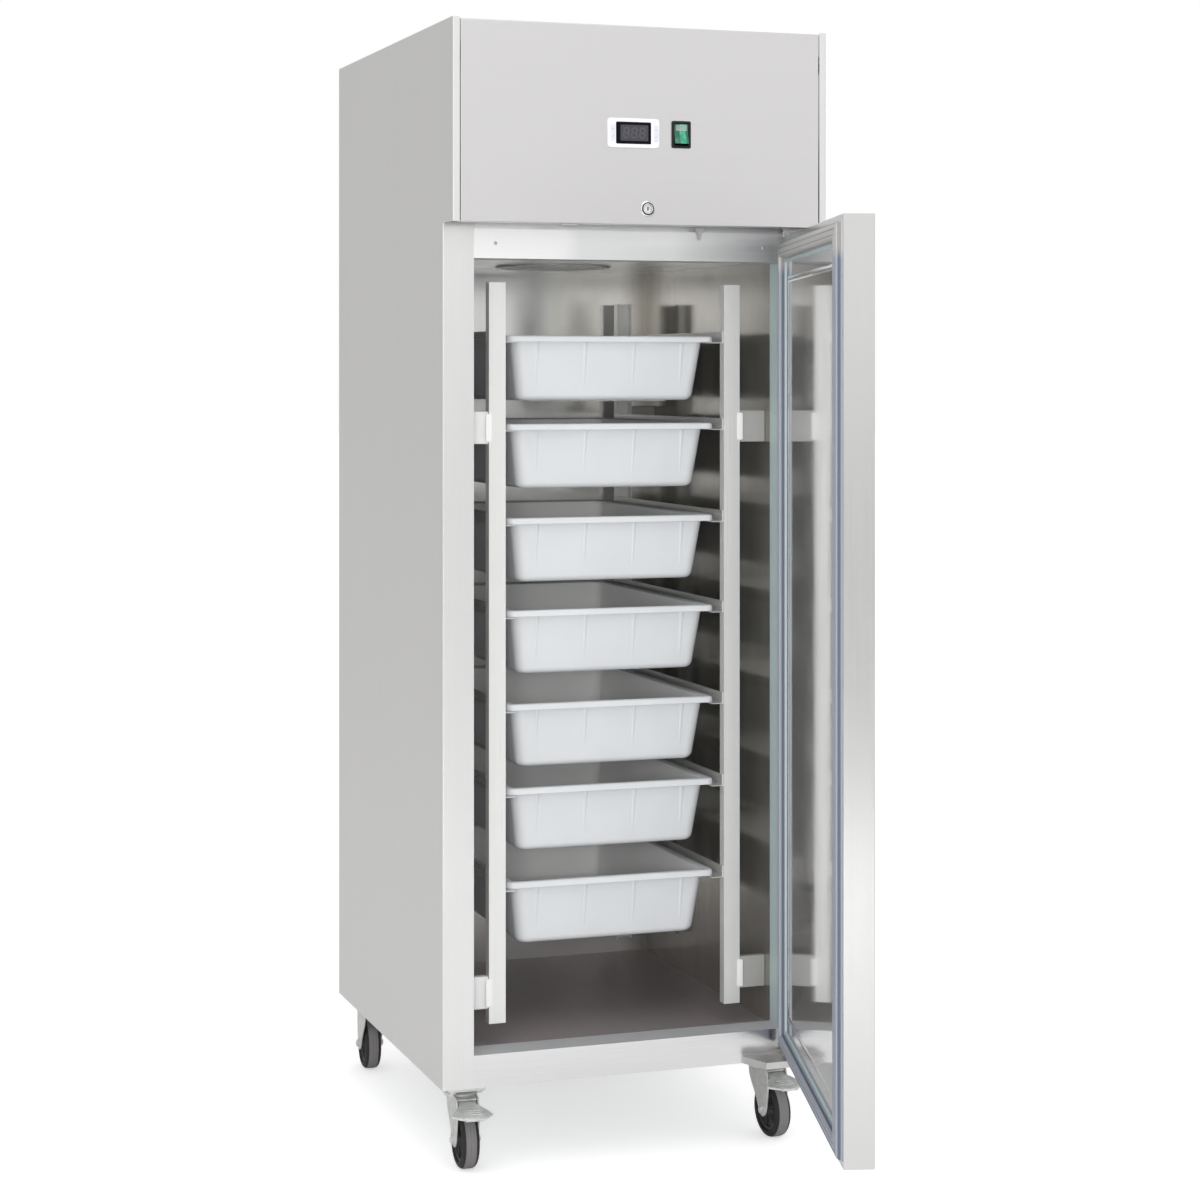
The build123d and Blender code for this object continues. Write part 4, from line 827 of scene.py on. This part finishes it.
def build_door_trim():
    """The pressed bead of the inner skin, the bushes' collars, and the screws along the pull."""
    bead = [(62, -0.6), (64, 0.5), (67, 1.3), (70, 1.3), (73, 0.5), (75, -0.6)]
    piece("inner_skin_bead", swung([door_ring(bead)]), "door_liner_steel", "door")
    collar = [(-0.5, 8.6), (0.9, 8.6), (1.5, 7.9), (1.5, 5.4), (-0.5, 5.4)]
    collars = [turned(collar, (*DOOR_PIVOT, z), way, 36, ring=True)
               for z, way in ((DOOR_Z[0], DOWN), (DOOR_Z[1], UP))]
    piece("bush_collars", swung(collars), "bush_plastic", "door")
    screws = [screw_head((x, DOOR_Y[0] + 26.6, z), FORWARD, 3.2, 1.6) for x, z in PULL_SCREWS]
    piece("pull_screws", swung(screws), "screw_steel", "door")


# Controls and lock on the head's fascia

BEZEL_MIDDLE, WINDOW_MIDDLE = 329.5, 331.5
KEYS = {"left": 290, "right": 371}
LOCK_SPOT = (357, HEAD_FRONT, 1687)


def frame_skin(outer, inner, corner, inner_corner, front, back, lip, centre):
    """A moulded frame facing -y: up the outside, over a rounded lip and down into the hole."""
    (wide, tall), (hole_w, hole_t) = outer, inner
    levels = [(back, wide, tall, corner), (front + lip, wide, tall, corner),
              (front + 0.35 * lip, wide - 0.5 * lip, tall - 0.5 * lip, corner),
              (front, wide - 2 * lip, tall - 2 * lip, max(corner - lip, 0.3)),
              (front, hole_w + 1.4, hole_t + 1.4, inner_corner + 0.7),
              (front + 0.5, hole_w + 0.3, hole_t + 0.3, inner_corner + 0.2),
              (front + 1.4, hole_w, hole_t, inner_corner), (back, hole_w, hole_t, inner_corner)]
    rows = [on_plane(rounded_loop(w, t, r, 8), y, centre, "xz") for y, w, t, r in levels]
    return loft(rows, ring=True)


def segment_skins(centre_x, centre_z, tall, face):
    """The seven unlit bars of one digit, each a flat hexagon."""
    wide, bar = tall * 0.52, tall * 0.11
    across = np.array([(-1, 0), (-0.8, 1), (0.8, 1), (1, 0), (0.8, -1), (-0.8, -1)], float)
    spots = [(0, 1, 0), (0, 0, 0), (0, -1, 0), (-1, 0.5, 1), (1, 0.5, 1), (-1, -0.5, 1), (1, -0.5, 1)]
    skins = []
    for sx, sz, upright in spots:
        length = (tall / 2 if upright else wide) * 0.42
        loop = across * (length, bar / 2)
        loop = loop[:, ::-1] if upright else loop
        centre = (centre_x + sx * wide / 2 + sz * tall * 0.045, face, centre_z + sz * tall / 2)
        skins.append(loft([on_plane(loop, h, centre, "xz") for h in (0, 0.15)]))
    return skins


def build_controls():
    """The controller with its keys and window, and the switch's frame."""
    front = HEAD_FRONT - 4
    bezel, window = (BEZEL_MIDDLE, 0, CONTROL_Z), (WINDOW_MIDDLE, 0, CONTROL_Z + 0.4)
    case = frame_skin((97, 52), (65.4, 38.4), 6, 2, front, HEAD_FRONT + 0.2, 1.6, bezel)
    piece("controller_frame", [case], "control_white", replaces=["controller_bezel"])
    for side, x in KEYS.items():
        pad = pillow(8.0, 29.0, 2.2, front - 1.6, front + 1.0, 0.6, (x, 0, CONTROL_Z), "xz")
        marks = [pillow(3.2, 0.9, 0.4, front - 1.9, front - 1.4, 0.2, (x, 0, CONTROL_Z + dz), "xz")
                 for dz in (-6.5, 6.5)]
        piece(f"key_pad_{side}", [pad], "key_plastic", f"key_{side}",
              replaces=[f"controller_key_{side}"])
        piece(f"key_marks_{side}", marks, "mark_grey", f"key_{side}")
    rim = frame_skin((65, 37.4), (52, 28), 1.6, 1.2, front + 1.1, HEAD_FRONT + 0.1, 0.4, window)
    piece("display_surround", [rim], "display_dark")
    pane = slab([(front + 2.0, 52.6, 28.6, 1.2), (front + 3.0, 52.6, 28.6, 1.2)], window, "xz")
    piece("display_pane", [pane], "display_glass", replaces=["display_window"])
    digits = [bar for x in (-15, 0, 15)
              for bar in segment_skins(WINDOW_MIDDLE + x, CONTROL_Z + 0.5, 17, front + 1.9)]
    piece("display_segments", digits, "segment_grey")

    switch = (SWITCH_X, 0, CONTROL_Z)
    piece("switch_frame", [
        frame_skin((36, 48), (27, 39), 3, 1, HEAD_FRONT - 2.5, HEAD_FRONT + 0.2, 0.9, switch),
        frame_skin((31, 43), (27.2, 39.2), 1.4, 1, HEAD_FRONT, -36, 0.3, switch),
        slab([(-38, 30.6, 42.6, 1), (-35.2, 30.6, 42.6, 1)], switch, "xz"),
        ], "switch_black", replaces=["switch_bezel"])


def build_rocker():
    """The rocker's face is a shallow trough: a parabola from the raised end to the pressed one."""
    half, face, hollow = 17.4, -8.4, 2.4
    turn, spot = about_x(math.radians(-8)), (SWITCH_X, -58, CONTROL_Z)
    t = np.linspace(-1, 1, 25)
    trough = np.stack([face + hollow * (1 - t ** 2), t * half], -1)
    section = np.concatenate([trough, [(1.5, half - 1.2), (7.5, 0), (1.5, 1.2 - half)]])
    rows = [np.insert(section * shrink, 0, x, axis=1)
            for x, shrink in ((-13, 0.94), (-12.4, 1.0), (12.4, 1.0), (13, 0.94))]
    # The ribs take a light grey that is a painted reflection.
    grip = []
    for height in np.linspace(6.6, 15.4, 6):
        depth = face + hollow * (1 - (height / half) ** 2)
        bar = pillow(21, 1.1, 0.5, depth - 0.55, depth + 0.3, 0.3, (0, 0, height), "xz")
        grip.append(moved(bar, turn, spot))
    piece("rocker_body", [moved(loft(rows), turn, spot)], "rocker_green", "rocker",
          replaces=["switch_rocker"])
    piece("rocker_grip", grip, "rocker_grey", "rocker")


def build_lock():
    """A chromed flange with a coined edge, the plug with its key slot, and the cam behind."""
    flange = [(-0.2, 13.6), (0.8, 14), (1.7, 13.3), (2.2, 12.2), (2.3, 11.4), (0.6, 10.9), (0.6, 9.5),
              (3.2, 9.2), (3.6, 8.6), (3.4, 7.6), (2.6, 7.2), (-0.2, 7.15)]
    barrel = [(-17, 9.7), (0.2, 9.7), (0.2, 7.2), (-17, 7.2)]
    nut = [(-5.2, 12.6), (-1.3, 12.6), (-1.3, 9.6), (-5.2, 9.6)]
    # Painted shade: a black ring laid on the floor of the flange's channel.
    groove = [(0.3, 11.2), (0.9, 11.15), (0.9, 9.3), (0.3, 9.3)]
    rings = [turned(profile, LOCK_SPOT, FORWARD, steps, ring=True)
             for profile, steps in ((flange, 72), (barrel, 48), (nut, 6), (groove, 48))]
    piece("lock_flange", rings[:3], "chrome", replaces=["lock_bezel"])
    piece("lock_groove_painted_shade", rings[3:], "switch_black")
    plug = [(-21, 4.2), (-19, 6.9), (1.6, 6.9), (2.2, 6.3), (2.2, 3.9), (1.4, 3.5)]
    cam = smoothed([(-6, -6), (50, -6), (54, -3), (54, 3), (50, 6), (-6, 6)], 4)
    piece("lock_plug", [turned(plug, LOCK_SPOT, FORWARD),
                        pressed_plate(cam, -43, -40, 0.4, (LOCK_SPOT[0], 0, LOCK_SPOT[2]), "xz")],
          "chrome", "lock", replaces=["lock_cylinder"])
    # Painted shade: a black plate stands for the key slot, which is not cut as a hole.
    slot = pillow(1.9, 6.6, 0.7, -2.3, -1.2, 0.2, LOCK_SPOT, "xz")
    piece("lock_key_slot_painted_shade", [slot], "switch_black", "lock")


# Cabinet and rack details

FRONT_POST_Y, REAR_POST_Y = 79, 670
CLIP_HEIGHTS = (296, 1301)
HINGE_SCREWS = (584, 622, 685)


def build_post_clips():
    """Moulded stand-offs that hold the posts away from the walls, with a lip over each post's edge. The
    right-hand ones are painted darker as painted shade from the open door.
    """
    skins, lips = [], []
    for z in CLIP_HEIGHTS:
        for y, way in ((FRONT_POST_Y, 1), (REAR_POST_Y, -1)):
            skins.append(pillow(15, 58, 2.5, 57.2, 108.8, 1.2, (0, y + way * 11, z), "yz"))
            low, high = sorted((y - way * 1.6, y - way * 0.1))
            lips.append(pillow(11, 50, 3, low, high, 0.7, (108.5, 0, z), "xz"))
    piece("post_clips", skins + mirrored(skins), "bracket_plastic", replaces=["post_brackets"])
    piece("clip_lips", lips + mirrored(lips), "lip_plastic")


def build_cabinet_trim():
    """Screws, the door switch under the head, and the bumper on the fascia's lower edge."""
    screws = [screw_head((x, 0, 1625), FORWARD, 3.2, 1.4) for x in (96, 604)]
    screws += [screw_head((x, -4, 157), FORWARD, 5.2, 3.0) for x in HINGE_SCREWS]
    back = [(x, z) for x in (14, 350, 686) for z in (1672, 1830, 1996)]
    back += [(x, z) for x in (14, 686) for z in range(190, 1640, 240)]
    screws += [screw_head((x, DEPTH, z), (0, 1, 0), 4, 1.9) for x, z in back]
    piece("panel_screws", screws, "screw_steel")
    lever = smoothed([(-5, 0), (5, 0), (3.2, -13), (1.5, -21.5), (-1.5, -21.5), (-3.2, -13)], 2, 5)
    switch = [pressed_plate(lever, -6.5, -3.2, 0.8, (478, 0, 1658), "xz"),
              pillow(18, 7, 1.5, 1651.5, 1658.6, 0.8, (478, -5, 0))]
    bumper = [pillow(28, 9, 2, 1655.9, 1659.1, 1.0, (212, -55, 0))]
    piece("door_switch", switch, "trim_grey")
    piece("fascia_bumper", bumper, "trim_grey")


# Cooling unit

COIL_X, COIL_Y, COIL_Z = (60, 380), (40, 90), (1664, 1964)
FIN_COUNT, TUBE_ROWS, TUBE_RADIUS, TUBE_INSET = 104, 6, 4.6, 13
GUARD_SPOT = np.array([MIDDLE_X, 440, 1603.0])
COMPRESSOR_SPOT = np.array([570.0, 210.0, 0.0])


def build_condenser():
    """A pack of thin fins, straight tubes with their hairpins and links, and the end sheets."""
    (left, right), (front, back), (foot, head) = COIL_X, COIL_Y, COIL_Z
    middle_y, middle_z, deep, tall = sum(COIL_Y) / 2, sum(COIL_Z) / 2, back - front, head - foot
    fins = [loft([on_plane(rounded_loop(deep, tall, 1.5, 2), h, (at, middle_y, middle_z), "yz")
                  for h in (-0.15, 0.15)]) for at in np.linspace(left + 7, right - 7, FIN_COUNT)]
    piece("condenser_fins", fins, "fin_aluminium", replaces=["condenser_coil"])

    near, far = front + TUBE_INSET, back - TUBE_INSET
    heights = np.linspace(foot + 25, head - 25, TUBE_ROWS)
    rise = (heights[1] - heights[0]) / 2
    bend = np.linspace(0, math.pi, 13)
    level, out, paths = np.zeros(13), np.sin(bend), []
    for number, z in enumerate(heights):
        paths += [[(left - 2, y, z), (right + 2, y, z)] for y in (near, far)]
        paths.append(np.stack([left - 2 - 11 * out, middle_y - 12 * np.cos(bend), level + z], -1))
        if number < TUBE_ROWS - 1:
            side = near if number % 2 else far
            paths.append(np.stack([right + 2 + 12 * out, level + side, z + rise - rise * np.cos(bend)], -1))
    tubes = [pipe(path, TUBE_RADIUS) for path in paths]
    piece("condenser_tubes", tubes, "copper")
    sheet = rounded_loop(deep + 2, tall + 6, 1.5, 3)
    sheets = [pressed_plate(sheet, 0, 1.4, 0.3, (at, middle_y, middle_z), "yz") for at in (left, right - 1.4)]
    sheets += [pillow(right - left, 10, 1, 1656.2, 1662, 0.6, ((left + right) / 2, y, 0)) for y in (46, 84)]
    piece("condenser_end_sheets", sheets, "galvanised")


def build_guard():
    """The ceiling guard: flat rings, six spokes, a hub and a pressed flange."""
    rings = [turned([(-0.8, r - 3.8), (-0.4, r - 4.3), (0.8, r - 4.3), (0.8, r + 4.3), (-0.4, r + 4.3),
                     (-0.8, r + 3.8)], GUARD_SPOT, UP, 72, ring=True) for r in np.linspace(28, 94, 7)]
    spoke = np.array([[4.0, 0, 1.6], [97.0, 0, 1.6]])
    rings += [pipe(spoke @ about_z(angle).T + GUARD_SPOT, 1.2, 8) for angle in circle(6, 0.3)]
    hub = [(-0.8, 0.5), (-0.8, 19), (-0.3, 20), (0.8, 20), (0.8, 0.5)]
    flange = [(-1.0, 99.5), (-1.4, 101), (-1.4, 109), (1.2, 113), (1.7, 113), (1.7, 99.5)]
    rings += [turned(hub, GUARD_SPOT, UP, 40), turned(flange, GUARD_SPOT, UP, 72, ring=True)]
    piece("ceiling_guard_wires", rings, "guard_chrome", replaces=["ceiling_fan_guard"])


def build_compressor():
    """The drawn shell with its welded seam, the terminal cover, the foot plate and its grommets."""
    bulge = np.linspace(0, math.pi / 2, 9)
    lower = np.stack([1677 + 34 * (1 - np.cos(bulge)), 40 + 39 * np.sin(bulge)], -1)
    upper = np.stack([1779 + 38 * np.sin(bulge), 38 + 41 * np.cos(bulge)], -1)
    seam = [(1742, 79), (1743, 82.5), (1749, 82.5), (1750, 80)]
    shell = turned(np.concatenate([lower, seam, upper, [(1818.5, 8)]]), COMPRESSOR_SPOT, UP, 64)
    cover = pillow(60, 62, 8, 0, 46, 4, COMPRESSOR_SPOT + (0, -118, 1745), "xz")
    plate = smoothed([(-104, -74), (104, -74), (104, 74), (-104, 74)], 22)
    feet = [pressed_plate(plate, 1668.3, 1671.6, 0.7, COMPRESSOR_SPOT)]
    grommet = [(1656.3, 12.5), (1664, 12.5), (1665, 9), (1667.5, 9), (1668.5, 12), (1673, 12), (1674.5, 9)]
    posts = [turned(grommet, COMPRESSOR_SPOT + (dx, dy, 0), UP, 24) for dx in (-88, 88) for dy in (-58, 58)]
    piece("compressor_shell", [shell, cover], "compressor_black", replaces=["compressor"])
    piece("compressor_feet", feet, "galvanised")
    piece("compressor_grommets", posts, "bush_plastic")


# Stage: pale floor, soft light

FLOOR_REACH, FLOOR_LIFT = 60.0, 0.44
FRONT_LEVEL, BACK_LEVEL, LEFT_SHARE = 1.2, 0.77, 0.95


def build_floor():
    """A pale floor, lifted to the background's white where the camera sees it, which keeps its shadow."""
    recipe = Recipe("stage_floor", grey(0.93), 0.8)
    mesh = bpy.data.meshes.new("stage_floor")
    corners = [(-1, -1, 0), (1, -1, 0), (1, 1, 0), (-1, 1, 0)]
    mesh.from_pydata((np.array(corners) * FLOOR_REACH).tolist(), [], [(0, 1, 2, 3)])
    mesh.materials.append(recipe.material)
    floor = add_object("stage_floor", mesh)
    glow = add_node(recipe.tree, "Emission", Strength=FLOOR_LIFT)
    lifted = add_node(recipe.tree, "AddShader")
    recipe.join(recipe.shader.outputs[0], lifted.inputs[0])
    recipe.join(glow.outputs[0], lifted.inputs[1])
    split_by_camera(recipe.tree, recipe.shader, lifted, recipe.tree.nodes["Material Output"])


def build_world():
    """White to the camera. For light and reflections it is brighter in front and greyer at the left."""
    world = bpy.data.worlds.new("studio")
    bpy.context.scene.world = world
    world.use_nodes = True
    tree = world.node_tree
    tree.nodes.clear()
    split = add_node(tree, "SeparateXYZ")
    tree.links.new(add_node(tree, "TexCoord").outputs["Generated"], split.inputs[0])
    level = add_node(tree, "Math", operation="MULTIPLY")
    for socket, (axis, *span) in enumerate((("Y", -0.9, 0.2, FRONT_LEVEL, BACK_LEVEL),
                                            ("X", -0.95, -0.2, LEFT_SHARE, 1.0))):
        tree.links.new(map_range(tree, split.outputs[axis], *span, "SMOOTHSTEP"), level.inputs[socket])
    lit = add_node(tree, "Background")
    tree.links.new(level.outputs[0], lit.inputs["Strength"])
    shown = add_node(tree, "Background", Color=(1, 1, 1, 1))
    split_by_camera(tree, lit, shown, add_node(tree, "OutputWorld"))


def soft_lamp(name, spot, aim, size, power, glints=True):
    """A square lamp turned towards a point, with or without its own reflection in the steel."""
    data = bpy.data.lights.new(name, "AREA")
    data.shape, data.size, data.energy = "SQUARE", size, power
    lamp = add_object(name, data)
    lamp.visible_glossy = glints
    lamp.location = Vector(spot)
    lamp.rotation_euler = (Vector(aim) - Vector(spot)).to_track_quat("-Z", "Y").to_euler()


place_camera()
dress_cad_nodes()
build_trays()
build_castors()
build_gasket()
build_door_trim()
build_controls()
build_rocker()
build_lock()
build_post_clips()
build_cabinet_trim()
build_condenser()
build_guard()
build_compressor()
build_floor()
build_world()
soft_lamp("top_lamp", (-0.6, -2.4, 5.6), (0, 0, 0.6), 4.0, 50)
soft_lamp("front_lamp", (-3.2, -5.8, 2.6), (0, 0, 1.1), 3.6, 20)
soft_lamp("fill_lamp", (-1.75, -4.7, 1.45), (0, 0.1, 1.0), 0.8, 92, glints=False)
bpy.context.scene.view_settings.view_transform = "Standard"
